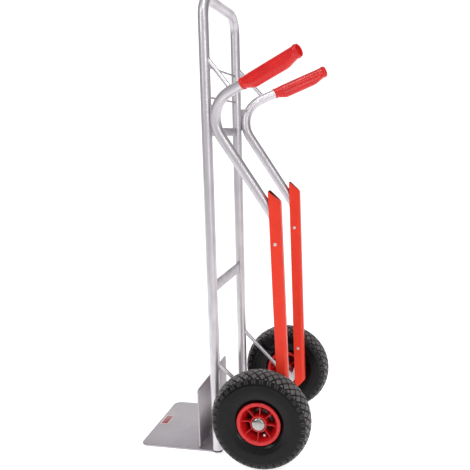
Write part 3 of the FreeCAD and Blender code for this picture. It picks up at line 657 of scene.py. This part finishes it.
def grip(name, side):
    """A moulded grip: a round sleeve whose lower half grows into a finger skirt.

    The upper half of each section is half a circle. In the lower half the depth is the skirt's
    depth times a power of the sine, and the half width follows a waisted table of the depth.
    The stations along the grip and its sections are in millimetres.
    """
    tip = 170.2
    at = np.concatenate([np.linspace(0.0, 14.0, 22), np.linspace(15.5, 140.0, 70),
                         np.linspace(141.5, tip, 30)])
    radius = np.interp(at, (0, 0.8, 2.0, 4.5, 7.5, 10, 30, 150, 158, 164, 168, tip),
                       (14.3, 15.3, 15.6, 15.6, 14.4, 14.5, 15.6, 15.6, 15.8, 17.5, 16.5, 15.6))
    depth = np.interp(at, (0, 0.8, 2.0, 4.5, 7.5, 9, 14, 31, 36, 124, 131, 158, 164, 168, tip),
                      (14.3, 15.3, 15.6, 15.6, 14.4, 15.0, 17.2, 24.2, 24.6, 24.6, 24.0, 16.0, 17.5, 16.5,
                       15.6))
    for column in (radius, depth):
        column[1:-1] = np.convolve(column, SOFTEN, "valid")
    upper = np.linspace(0.0, math.pi, 30, endpoint=False)
    lower = np.linspace(0.0, math.pi, 44, endpoint=False)
    share = np.abs(np.sin(lower)) ** 0.8
    waist = np.interp(share, (0, 0.18, 0.34, 0.48, 0.62, 0.86, 1.0),
                      (1.0, 0.93, 0.90, 0.945, 0.90, 0.66, 0.50))
    waisted = waist * np.sqrt(np.clip(1 - share ** 9, 0.0, 1.0)) * np.sign(np.cos(lower))
    start, across, down, along = grip_axes(side)
    rows = []
    for s, r, d in zip(at, radius, depth):
        full = np.clip((d - r) / 8.9, 0.0, 1.0)
        top = np.stack([r * np.cos(upper), -r * np.sin(upper)], 1)
        wide = (1 - full) * np.cos(lower) + full * waisted
        sunk = (1 - full) * np.abs(np.sin(lower)) + full * share
        low = np.stack([-r * wide, d * sunk], 1)
        flat = np.concatenate([top, low]) * MM
        rows.append(start + along * s * MM + flat[:, :1] * across + flat[:, 1:] * down)
    ring = np.array(rows[-1])
    middle = start + along * tip * MM
    for shrink, sunk in ((0.96, 0.45), (0.90, 0.6), (0.82, 0.2), (0.80, -1.8), (0.77, -4.6), (0.40, -5.0)):
        rows.append(middle + (ring - middle) * shrink + along * sunk * MM)
    piece("moulded_grip_" + name, [shell(np.array(rows))], "frame", "grip_" + name, crease=70.0)


def strut(name, node, low, high, radius, welds, ends):
    """A thin stay with a weld round each end that meets a tube."""
    line = np.linspace(low, high, 8)
    piece(name, [tube(line, radius, 32)], "frame", node)
    middle, way = (low + high) / 2, unit(high - low)
    for sign, tube_point, tube_way in ends:
        seam = seam_on_tube(middle, way * sign, circle(radius, 40), tube_point, tube_way, TUBE)
        welds.append(weld_bead(seam, 1.3 * MM))


def upper_strut(name, side, welds):
    """The stay from the upright down to the handle's arm."""
    corners = mirrored(HANDLE, side)
    along = unit(corners[3] - corners[2])
    low = corners[2] + along * UPPER_STRUT_FOOT
    high = leg_point(side, UPPER_STRUT_TOP) + np.array((0.0, 8 * MM, 0.0))
    strut("upper_stay_" + name, "upper_strut_" + name, low, high, UPPER_STRUT, welds,
          [(-1, low, along), (1, leg_point(side, UPPER_STRUT_TOP), leg_way(side))])


def axle_spot(side):
    """The axle's line where it passes the handle tube's plane."""
    hub = HUBS["wheel_left"]
    share = (hub[2] - HANDLE[0][2]) / (HANDLE[1][2] - HANDLE[0][2])
    return np.array(((HANDLE[0][0] + (HANDLE[1][0] - HANDLE[0][0]) * share) * side, hub[1], hub[2]))


def lower_strut(name, side, welds):
    """The stay from the upright down to the axle bracket."""
    hub = axle_spot(side)
    high = leg_point(side, LOWER_STRUT_TOP) + np.array((0.0, 6 * MM, 0.0))
    low = hub + unit(high - hub) * BRACKET_REACH
    strut("lower_stay_" + name, "lower_strut_" + name, low, high, LOWER_STRUT, welds,
          [(1, leg_point(side, LOWER_STRUT_TOP), leg_way(side))])


def axle_bracket(name, side):
    """A cast plate: a round nose about the axle, a scooped top and a heel on the handle tube."""
    low, high = corners_of("axle_bracket_" + name)
    hub = axle_spot(side)
    nose = hub[1] - low[1]
    thick = high[0] - low[0]
    top, chin = high[2] - hub[2], low[2] - hub[2]
    tube_front = HANDLE[0][1] - TUBE - hub[1]
    tube_end = HANDLE[0][2] - hub[2]
    turn = np.radians(np.linspace(70.0, 280.0, 36))
    round_nose = np.stack([np.cos(turn), np.sin(turn)], 1) * nose
    rest = rounded([(2 * MM, -nose), (tube_front - 7 * MM, chin), (tube_front, tube_end - 2 * MM),
                    (tube_front + 6 * MM, tube_end + 3 * MM), (tube_front + 6 * MM, top),
                    (tube_front - 1.5 * MM, top), (tube_front - 8 * MM, 2.5 * MM)],
                   np.array((0, 6, 2, 0, 0, 1, 10)) * MM, steps=9)
    outline = np.concatenate([round_nose, rest[1:]])
    origin = np.array((low[0], hub[1], hub[2]))
    plate = slab(outline, thick, 1.8 * MM, origin, BACKWARDS, UP)
    boss = revolved(rounded([(-thick / 2 - 1 * MM, 10.1 * MM), (thick / 2 + 0.2 * MM, 10.1 * MM),
                             (thick / 2 + 0.2 * MM, 17 * MM), (-thick / 2 - 1 * MM, 17 * MM)], 0.8 * MM),
                    hub, side, 72)
    piece("cast_bracket_" + name, [plate, boss], "frame", "axle_bracket_" + name)


def gusset(name):
    """A flat plate that fills its CAD node's box, with rounded corners and edges."""
    low, high = corners_of("handle_gusset_" + name)
    outline = box_outline(low, high, 1, 2, 1.5 * MM)
    plate = slab(outline, high[0] - low[0], 0.8 * MM, ACROSS * low[0], BACKWARDS, UP)
    piece("gusset_plate_" + name, [plate], "frame", "handle_gusset_" + name)


# ---- skids -------------------------------------------------------------------------------------

def skid_axes(side):
    foot, knee = mirrored(HANDLE, side)[:2]
    along = unit(knee - foot)
    across = unit(ACROSS - along * along[0])
    return foot - along * 27 * MM, across, np.cross(along, across), along


def skid(name, side):
    """A channel with chamfered back edges carried up the tube, its two ends cut on a slope.

    Each end's height along the tube is linear in the section's depth; near the top the hollow's
    back wall comes forwards to close the channel.
    """
    half, back, front, chamfer, bore = (value * MM for value in (16.0, 17.3, 12.5, 6.0, 13.8))
    long, slope = 604 * MM, 29 * MM
    start, across, backwards, along = skid_axes(side)
    outer = [(half, -front), (half, back - chamfer), (half - chamfer, back), (chamfer - half, back),
             (-half, back - chamfer), (-half, -front)]
    turn = np.linspace(math.pi, 0.0, 17)
    hollow = np.stack([np.cos(turn), np.sin(turn)], 1) * bore
    outer_round = rounded(outer + [(-bore, -front), (-bore, -front / 2), (bore, -front / 2), (bore, -front)],
                          np.array((0.8, 1.6, 1.6, 1.6, 1.6, 0.8, 0.6, 0, 0, 0.6)) * MM)
    split = int(np.argmin(np.linalg.norm(outer_round - np.array((bore, -front / 2)), axis=1)))
    outline = np.concatenate([outer_round[:split], hollow, outer_round[split:]])
    heights = np.concatenate([(0.0, 0.002), np.linspace(0.02, 0.96, 30),
                              (0.975, 0.982, 0.986, 0.99, 0.998, 1.0)])
    rows = []
    for share in heights:
        end = 0.9 * MM if share in (0.0, 1.0) else 0.0
        flat = inset(outline, end)
        limit = bore if share < 0.985 else -front + 1.5 * MM
        inside = np.abs(flat[:, 0]) < bore + 0.1 * MM
        flat[:, 1] = np.where(inside & (np.arange(len(flat)) >= split - 6) & (flat[:, 1] > limit)
                              & (np.abs(flat[:, 1]) < bore + 0.1 * MM), limit, flat[:, 1])
        climb = (flat[:, 1] + front) / (back + front) * slope
        height = climb * (1 - share) + (long + slope - climb) * share
        rows.append(start + flat[:, :1] * across + flat[:, 1:] * backwards + height[:, None] * along)
    piece("stair_skid_" + name, [shell(np.array(rows))], "frame", "skid_" + name, crease=40.0)


def screw_head(centre, outwards, radius, tall, count=40):
    """A domed head with a cross recess: its height is a sphere's cap less a four-armed dip."""
    outwards = np.asarray(outwards, float)
    side = UP
    other = np.cross(outwards, side)
    turn = np.linspace(0.0, 2 * math.pi, count, endpoint=False)
    reach = np.concatenate([[1.0, 1.0], np.linspace(0.985, 0.02, 18)])
    rows = []
    for number, share in enumerate(reach):
        x, y = share * np.cos(turn), share * np.sin(turn)
        dome = tall * np.sqrt(max(1 - (share * 0.93) ** 2, 0.0)) if number > 0 else 0.0
        arm = np.minimum(np.abs(x), np.abs(y))
        dip = 0.55 * tall * (1 - smooth(arm, 0.07, 0.15)) * (1 - smooth(share, 0.48, 0.62))
        lift = dome - (dip if number > 1 else 0.0)
        rows.append(centre + radius * (x[:, None] * side + y[:, None] * other)
                    + outwards * np.broadcast_to(lift, turn.shape)[:, None])
    return shell(np.array(rows))


def skid_screws():
    """Two screws on each face of each skid, at shares of the run from the tube's foot to its knee."""
    heads = []
    for side in SIDES.values():
        foot, knee = mirrored(HANDLE, side)[:2]
        for share in SCREW_SHARES:
            for way in (1.0, -1.0):
                outwards = ACROSS * way
                spot = foot + (knee - foot) * share + outwards * SCREW_OUT
                heads.append(screw_head(spot, outwards, SCREW_R, SCREW_TALL))
    piece("skid_screw_heads", heads, "frame", "skid_screws")


# ---- plates ------------------------------------------------------------------------------------

def plates(welds):
    """The toe plate, the plate that the load leans on and the label: rounded slabs in their boxes."""
    low, high = corners_of("toe_plate")
    outline = box_outline(low, high, 0, 1, (22 * MM, 22 * MM, 2 * MM, 2 * MM), 12)
    blade = slab(outline, high[2] - low[2], 1.4 * MM, UP * low[2], ACROSS, BACKWARDS)
    piece("toe_blade", [blade], "frame", "toe_plate")
    low, high = corners_of("upright_plate")
    outline = box_outline(low, high, 0, 2, (1.5 * MM, 1.5 * MM, 9 * MM, 9 * MM), 8)
    guard = slab(outline, high[1] - low[1], 1.4 * MM, BACKWARDS * high[1], ACROSS, UP)
    piece("load_back", [guard], "frame", "upright_plate")
    for middle in GUARD_WELDS:
        for edge in (low[1], high[1]):
            ends = [(middle + reach, edge, low[2] + 0.4 * MM) for reach in GUARD_WELD_ENDS]
            welds.append(weld_bead(ends, 1.8 * MM, closed=False))
    low, high = corners_of("toe_label")
    outline = box_outline(low, high, 0, 1, 2 * MM)
    film = slab(outline, high[2] - low[2], 0.1 * MM, UP * low[2], ACROSS, BACKWARDS)
    piece("toe_film", [film], "frame", "toe_label")


def heel_bar():
    """A straight bar: its rounded rectangle carried from side to side."""
    low, high = corners_of("heel_bar")
    outline = box_outline(low, high, 1, 2, 2.5 * MM)
    section = outline - outline.mean(0)
    middle = (low + high) / 2
    line = np.linspace((low[0], middle[1], middle[2]), (high[0], middle[1], middle[2]), 12)
    piece("heel_tube", [shell(carried(line, section, BACKWARDS))], "frame", "heel_bar")


# ---- wheels ------------------------------------------------------------------------------------

BLOCKS = 36
ROW_STEP = 13 * MM
CROWN_HALF = 34 * MM
SHOULDER_HALF = 50 * MM


def tyre_profile():
    """Outer line of the tyre from bead to bead, as (distance outwards, radius), and the distance along it from its
    middle.

    The crown is an arc through both shoulders, each side a bulged curve down to its bead.
    """
    knots = np.array(((27.0, 52.6), (30.5, 55.0), (32.0, 60.0), (35.0, 66.5), (40.2, 76.0), (42.4, 89.0),
                      (41.2, 99.5), (39.6, 108.0), (38.0, 115.5), (35.2, 120.4))) * MM
    angle = np.linspace(0.54, 0.0, 14, endpoint=False)
    arc_radius = 69.8 * MM
    arc = np.stack([arc_radius * np.sin(angle), WHEEL_R - arc_radius * (1 - np.cos(angle))], 1)
    half = np.concatenate([knots, arc[arc[:, 0] < 34.0 * MM]])
    line = np.concatenate([half, half[::-1] * np.array((-1.0, 1.0))])
    run = np.concatenate([[0.0], np.cumsum(np.linalg.norm(np.diff(line, axis=0), axis=1))])
    return line, run - run[-1] / 2


def tyre(name, side):
    """The tyre: its outer line turned about the axle, with the tread pressed in along its normals.

    Tread cells come from a = u + v/2 and b = u - v/2, with u the turn counted in blocks and v the
    distance across counted in rows: a groove runs wherever a or b is half way between integers,
    so the blocks are staggered diamonds. Lugs and rings stand on the shoulders and sides.
    """
    line, run = tyre_profile()
    across = np.concatenate([np.linspace(run[0], -SHOULDER_HALF, 16, endpoint=False),
                             np.linspace(-SHOULDER_HALF, -CROWN_HALF, 10, endpoint=False),
                             np.linspace(-CROWN_HALF, CROWN_HALF, 56, endpoint=False),
                             np.linspace(CROWN_HALF, SHOULDER_HALF, 10, endpoint=False),
                             np.linspace(SHOULDER_HALF, run[-1], 17)])
    profile = np.stack([np.interp(across, run, line[:, 0]), np.interp(across, run, line[:, 1])], 1)
    for _ in range(3):
        for column in (0, 1):
            profile[1:-1, column] = np.convolve(profile[:, column], SOFTEN, "valid")
    profile[:, 1] *= WHEEL_R / profile[:, 1].max()
    way = np.gradient(profile, axis=0)
    way /= np.linalg.norm(way, axis=1, keepdims=True)
    normal = np.stack([way[:, 1], -way[:, 0]], 1)
    normal *= np.sign((normal * (profile - np.array((0.0, 90 * MM)))).sum(1))[:, None]
    turn = np.linspace(0.0, 2 * math.pi, BLOCKS * 22, endpoint=False)
    u = turn[:, None] * BLOCKS / (2 * math.pi)
    v = across[None, :] / ROW_STEP
    away = np.abs(across)[None, :]

    def kept(value):
        """1 on a block and 0 in the groove at each half integer."""
        gap = np.abs(value - np.floor(value) - 0.5)
        return smooth(gap, 0.085, 0.15)

    block = kept(u + v / 2 + 0.5) * kept(u - v / 2 + 0.5)
    edge = smooth(away, 35 * MM, 37 * MM)
    tread = block * (1 - edge) + edge
    depth = 4.6 * MM * (1 - smooth(away, 36 * MM, 38.5 * MM))
    phase = np.abs(u - np.floor(u) - 0.5)
    lug = (1 - smooth(phase, 0.21, 0.25)) - 0.75 * (1 - smooth(phase, 0.09, 0.13))
    lug = lug * smooth(away, 38 * MM, 39.5 * MM) * (1 - smooth(away, 47.5 * MM, 49 * MM))
    radius = profile[None, :, 1]
    rings = (1.6 * MM * np.exp(-((radius - 105 * MM) / (1.7 * MM)) ** 2)
             + 0.9 * MM * np.exp(-((radius - 99.5 * MM) / (1.2 * MM)) ** 2)
             + 1.8 * MM * np.exp(-((radius - 67 * MM) / (2.2 * MM)) ** 2))
    press = -depth * (1 - tread) + 0.9 * MM * lug - 0.9 * MM * edge + rings * (away > 50 * MM)
    outwards = profile[None, :, 0] + press * normal[None, :, 0]
    outwards = np.clip(outwards, -TYRE_HALF, TYRE_HALF)
    reach = radius + press * normal[None, :, 1]
    inner = np.array(((-26.0, 53.5), (-10.0, 54.5), (10.0, 54.5), (26.0, 53.5))) * MM
    outwards = np.concatenate([outwards, np.broadcast_to(inner[:, 0], (len(turn), 4))], 1)
    reach = np.concatenate([reach, np.broadcast_to(inner[:, 1], (len(turn), 4))], 1)
    hub = HUBS["wheel_" + name]
    grid = np.stack([outwards * side, reach * np.sin(turn[:, None]), reach * np.cos(turn[:, None])], -1) + hub
    top = np.concatenate([block * (1 - edge) + 0.35 * np.clip(lug, 0, 1), np.zeros((len(turn), 4))], 1)
    piece("block_tyre_" + name, [shell(grid, loop=True)], "wheel_" + name, "tyre_" + name,
          fields={"block_top": top}, crease=180.0)


def spoke_way(degrees):
    """The way along a spoke: straight up turned forwards, alike on both sides."""
    angle = math.radians(degrees)
    return np.array((0.0, -math.sin(angle), math.cos(angle)))


def rim_half(name, side, part, way):
    """Half of the moulded rim: a turned dish with a rolled lip, and ribs from hub to lip."""
    hub = HUBS["wheel_" + name]
    tall = 35.5 if way > 0 else 36.3
    corners = [(0.1, 18.0), (tall, 18.0), (tall, 21.0), (6.0, 23.0), (4.5, 32.0), (20.0, 42.5), (34.5, 46.5),
               (38.0, 49.0), (38.0, 55.0), (36.0, 57.0), (33.0, 57.0), (29.0, 51.6), (0.1, 51.6)]
    radii = [0, 1.0, 1.2, 2.5, 3.0, 6.0, 2.0, 2.2, 1.6, 1.0, 1.0, 2.0, 0]
    profile = rounded(np.array(corners) * MM, np.array(radii) * MM, steps=6)
    shells = [revolved(profile * np.array((way, 1.0)), hub, side, 180)]
    for number in range(8):
        along = spoke_way(45.0 * number - 5.0)
        outline = [(3.0, 20.0), (29.0, 20.0), (28.0, 28.0), (29.0, 40.0), (34.0, 47.5), (18.0, 46.5),
                   (3.0, 38.0)]
        flat = rounded(np.array(outline) * MM, np.array((0, 2, 3, 4, 0, 0, 0)) * MM)
        flat = flat[::-1] * np.array((way * side, 1.0)) if way * side < 0 else flat
        origin = hub - np.cross(ACROSS, along) * RIB_HALF
        shells.append(slab(flat, 2 * RIB_HALF, 0.8 * MM, origin, ACROSS, along))
    # The point field below marks the deep dish near the hub, which the plastic finish darkens as painted shade.
    spots = np.concatenate([made[0] for made in shells]) - hub
    deep = 1 - smooth(np.abs(spots[:, 0]), 5 * MM, 20 * MM)
    near_hub = 1 - smooth(np.hypot(spots[:, 1], spots[:, 2]), 32 * MM, 44 * MM)
    piece("rim_%s_half_%s" % (part, name), shells, "wheel_" + name, "rim_%s_%s" % (part, name),
          fields={"painted_recess_shade": deep * near_hub})


def hex_bolt(hub, side, degrees, circle_radius, way):
    """A hexagon head on its washer, its corners broken by a chamfer, at a place on the web."""
    along = spoke_way(degrees)
    spot = hub + along * circle_radius
    out = ACROSS * side * way
    other = np.cross(out, along)
    turn = np.linspace(0.0, 2 * math.pi, 48, endpoint=False)
    flats = 1.0 / np.cos((turn + math.pi / 6) % (math.pi / 3) - math.pi / 6)
    layers = [(4.4, 5.2, 0), (5.4, 5.2, 0), (5.5, 5.0, 0), (5.5, 4.0, 1), (8.0, 4.0, 1), (8.6, 3.6, 0.5),
              (8.6, 2.4, 0), (9.4, 2.3, 0), (9.6, 2.0, 0)]
    rows = []
    for lift, reach, angular in layers:
        radius = reach * (1 + (flats - 1) * angular) * MM
        rows.append(spot + out * lift * MM + radius[:, None] * (np.cos(turn)[:, None] * along
                                                                + np.sin(turn)[:, None] * other))
    return shell(np.array(rows))


def valve_stem(name, side):
    """The valve: a bent stem out through the web, then a knurled cap."""
    hub = HUBS["wheel_" + name]
    along = spoke_way(204.0)
    out = ACROSS * side
    corners = [hub + (along * away + out * lift) * MM for lift, away in ((4.4, 45), (4.4, 39.5), (21, 35.2))]
    line = bent_line(np.array(corners), (6 * MM,), steps=10)
    stem = tube(line, 2.9 * MM, 28)
    way = unit(line[-1] - line[-2])
    turn = np.linspace(0.0, 2 * math.pi, 64, endpoint=False)
    knurl = 1 + 0.05 * np.cos(turn * 16)
    side_way = unit(along - way * (along @ way))
    other = np.cross(way, side_way)
    rows = []
    for lift, reach, cut in ((-1.0, 3.2, 0), (-0.6, 3.7, 0), (0.4, 3.9, 1), (7.0, 3.9, 1), (7.8, 3.5, 0),
                             (8.8, 2.6, 0), (9.2, 1.4, 0)):
        radius = reach * (1 + (knurl - 1) * cut) * MM
        rows.append(line[-1] + way * lift * MM + radius[:, None] * (np.cos(turn)[:, None] * side_way
                                                                    + np.sin(turn)[:, None] * other))
    piece("valve_stem_" + name, [stem, shell(np.array(rows))], "wheel_" + name, "valve_" + name)


def hub_cap(name, side):
    """A domed cap: the quarter of an ellipse turned about the axle, with a rolled rim."""
    hub = HUBS["wheel_" + name]
    turn = np.linspace(0.0, math.pi / 2, 22)
    dome = np.stack([35.6 + 6.8 * np.sin(turn), 0.02 + 17.2 * np.cos(turn)], 1)
    skirt = np.array(((29.6, 16.6), (29.6, 17.9), (34.0, 17.9), (34.6, 18.0), (35.2, 17.8)))
    inner = np.array(((41.2, 0.02), (38.6, 12.0), (35.0, 16.4)))
    profile = np.concatenate([skirt, dome, inner]) * MM
    piece("domed_cap_" + name, [revolved(profile, hub, side, 96)], "wheel_" + name, "hub_cap_" + name)


def wheel(name, side):
    """One wheel: tyre, both rim halves, bolt heads on both faces, valve and cap."""
    tyre(name, side)
    rim_half(name, side, "outer", 1.0)
    rim_half(name, side, "inner", -1.0)
    hub = HUBS["wheel_" + name]
    bolts = [hex_bolt(hub, side, 90.0 * number + 96.0, 29 * MM, way)
             for number in range(4) for way in (1, -1)]
    piece("rim_bolt_set_" + name, bolts, "wheel_" + name, "rim_bolts_" + name, finish="black_bolt")
    valve_stem(name, side)
    hub_cap(name, side)


# ---- assembly ----------------------------------------------------------------------------------

for node, made in frame["nodes"].items():
    made.data.materials.clear()
    made.data.materials.append(FINISHES[SLOT_OF[node]])

welds = []
back_frame()
crossbar("upper_crossbar", welds)
crossbar("middle_crossbar", welds)
cross_rod("upper_cross_rod", welds)
cross_rod("lower_cross_rod", welds)
plates(welds)
heel_bar()
for name, side in SIDES.items():
    handle_tube(name, side)
    grip(name, side)
    upper_strut(name, side, welds)
    lower_strut(name, side, welds)
    axle_bracket(name, side)
    gusset(name)
    skid(name, side)
    wheel(name, side)
skid_screws()
piece("weld_beads", welds, "frame", slot="tube_metal", finish="weld_metal")


# ---- floor, light and camera -------------------------------------------------------------------

def stage():
    """A wide pale floor that glows faintly, less so towards the left (+X)."""
    bpy.ops.mesh.primitive_plane_add(size=40.0, location=(0.0, 0.0, -0.0005))
    floor = bpy.context.object
    floor.name = "studio_floor"
    made = Finish("studio_floor_paint", (0.9, 0.9, 0.9), rough=0.9)
    pale = made.mixed(made.noise(3.0, 2.0), (0.90, 0.90, 0.90), (0.88, 0.88, 0.88))
    made.colour(pale)
    glow = made.ranged(made.axis("X"), 0.35, 1.9)
    made.put(made.shader, "Emission Color", made.mixed(glow, (0.74, 0.74, 0.74), (0.12, 0.12, 0.12)))
    made.put(made.shader, "Emission Strength", 1.0)
    floor.data.materials.append(made.material)


def softbox(name, place, size, power, aim=(0.0, 0.0, 0.6)):
    """A rectangular lamp at a place, turned to shine at its aim."""
    lamp = bpy.data.lights.new(name, "AREA")
    lamp.shape = "RECTANGLE"
    lamp.size, lamp.size_y = size
    lamp.energy = power
    holder = bpy.data.objects.new(name, lamp)
    bpy.context.scene.collection.objects.link(holder)
    way = unit(np.asarray(place, float) - np.asarray(aim, float))
    side = unit(np.cross(UP, way))
    upwards = np.cross(way, side)
    turn = Matrix((side, upwards, way)).transposed()
    holder.matrix_world = Matrix.Translation(place) @ turn.to_4x4()


# Each bright patch: its direction, the dot products where it starts and is full, and its gain.
SKY_BASE = 0.24
SKY_LOBES = (((-0.970, -0.243, 0.0), 0.70, 0.88, 1.0),
             ((0.0, 0.0, 1.0), 0.50, 0.90, 0.30),
             ((0.90, 0.40, 0.15), 0.45, 0.98, 0.50))


def sky():
    """Studio surroundings: a dim even base, and bright patches about three fixed directions.

    The brightness of a direction is the base plus, for each patch, its gain times a smooth step
    of the direction's dot product with the patch's own.
    """
    world = bpy.data.worlds.new("studio")
    bpy.context.scene.world = world
    world.use_nodes = True
    tree = world.node_tree
    background = tree.nodes["Background"]
    background.inputs["Color"].default_value = (1.0, 1.0, 1.0, 1.0)
    place = tree.nodes.new("ShaderNodeTexCoord").outputs["Generated"]

    def lobe(way, low, high, gain):
        """A patch of brightness about a direction, from the direction's dot product with it."""
        dot = tree.nodes.new("ShaderNodeVectorMath")
        dot.operation = "DOT_PRODUCT"
        tree.links.new(place, dot.inputs[0])
        dot.inputs[1].default_value = way
        ramp = tree.nodes.new("ShaderNodeMapRange")
        ramp.interpolation_type = "SMOOTHSTEP"
        tree.links.new(dot.outputs["Value"], ramp.inputs["Value"])
        for socket, value in (("From Min", low), ("From Max", high), ("To Min", 0.0), ("To Max", gain)):
            ramp.inputs[socket].default_value = value
        return ramp.outputs["Result"]

    total = None
    for patch in SKY_LOBES:
        adding = tree.nodes.new("ShaderNodeMath")
        adding.inputs[0].default_value = SKY_BASE
        if total is not None:
            tree.links.new(total, adding.inputs[0])
        tree.links.new(lobe(*patch), adding.inputs[1])
        total = adding.outputs[0]
    tree.links.new(total, background.inputs["Strength"])


CAMERA_PLACE = (1.812, 0.460, 0.849)
CAMERA_TURNS = (104.06, 8.24, -1.49)
LENS = 51.19


def camera():
    """A view from the user's left, a little behind, tilted down: azimuth, pitch and roll in degrees."""
    azimuth, pitch, roll = np.radians(CAMERA_TURNS)
    ahead = np.array((-math.sin(azimuth) * math.cos(pitch), math.cos(azimuth) * math.cos(pitch),
                      -math.sin(pitch)))
    right = unit(np.cross(ahead, UP))
    upwards = np.cross(right, ahead)
    turned_right = math.cos(roll) * right + math.sin(roll) * upwards
    turned_up = math.cos(roll) * upwards - math.sin(roll) * right
    data = bpy.data.cameras.new("camera")
    data.sensor_width = 36.0
    data.lens = LENS
    holder = bpy.data.objects.new("camera", data)
    bpy.context.scene.collection.objects.link(holder)
    turn = Matrix((turned_right, turned_up, -ahead)).transposed()
    holder.matrix_world = Matrix.Translation(CAMERA_PLACE) @ turn.to_4x4()
    bpy.context.scene.camera = holder


stage()
sky()
softbox("key", (2.2, -1.8, 2.4), (0.9, 2.4), 24.0)
softbox("fill", (2.4, 2.0, 1.6), (0.5, 2.4), 15.0)
softbox("top_strip", (0.75, 0.25, 2.6), (0.35, 1.3), 9.0, aim=(0.15, 0.1, 0.4))
camera()
bpy.context.scene.view_settings.view_transform = "Standard"
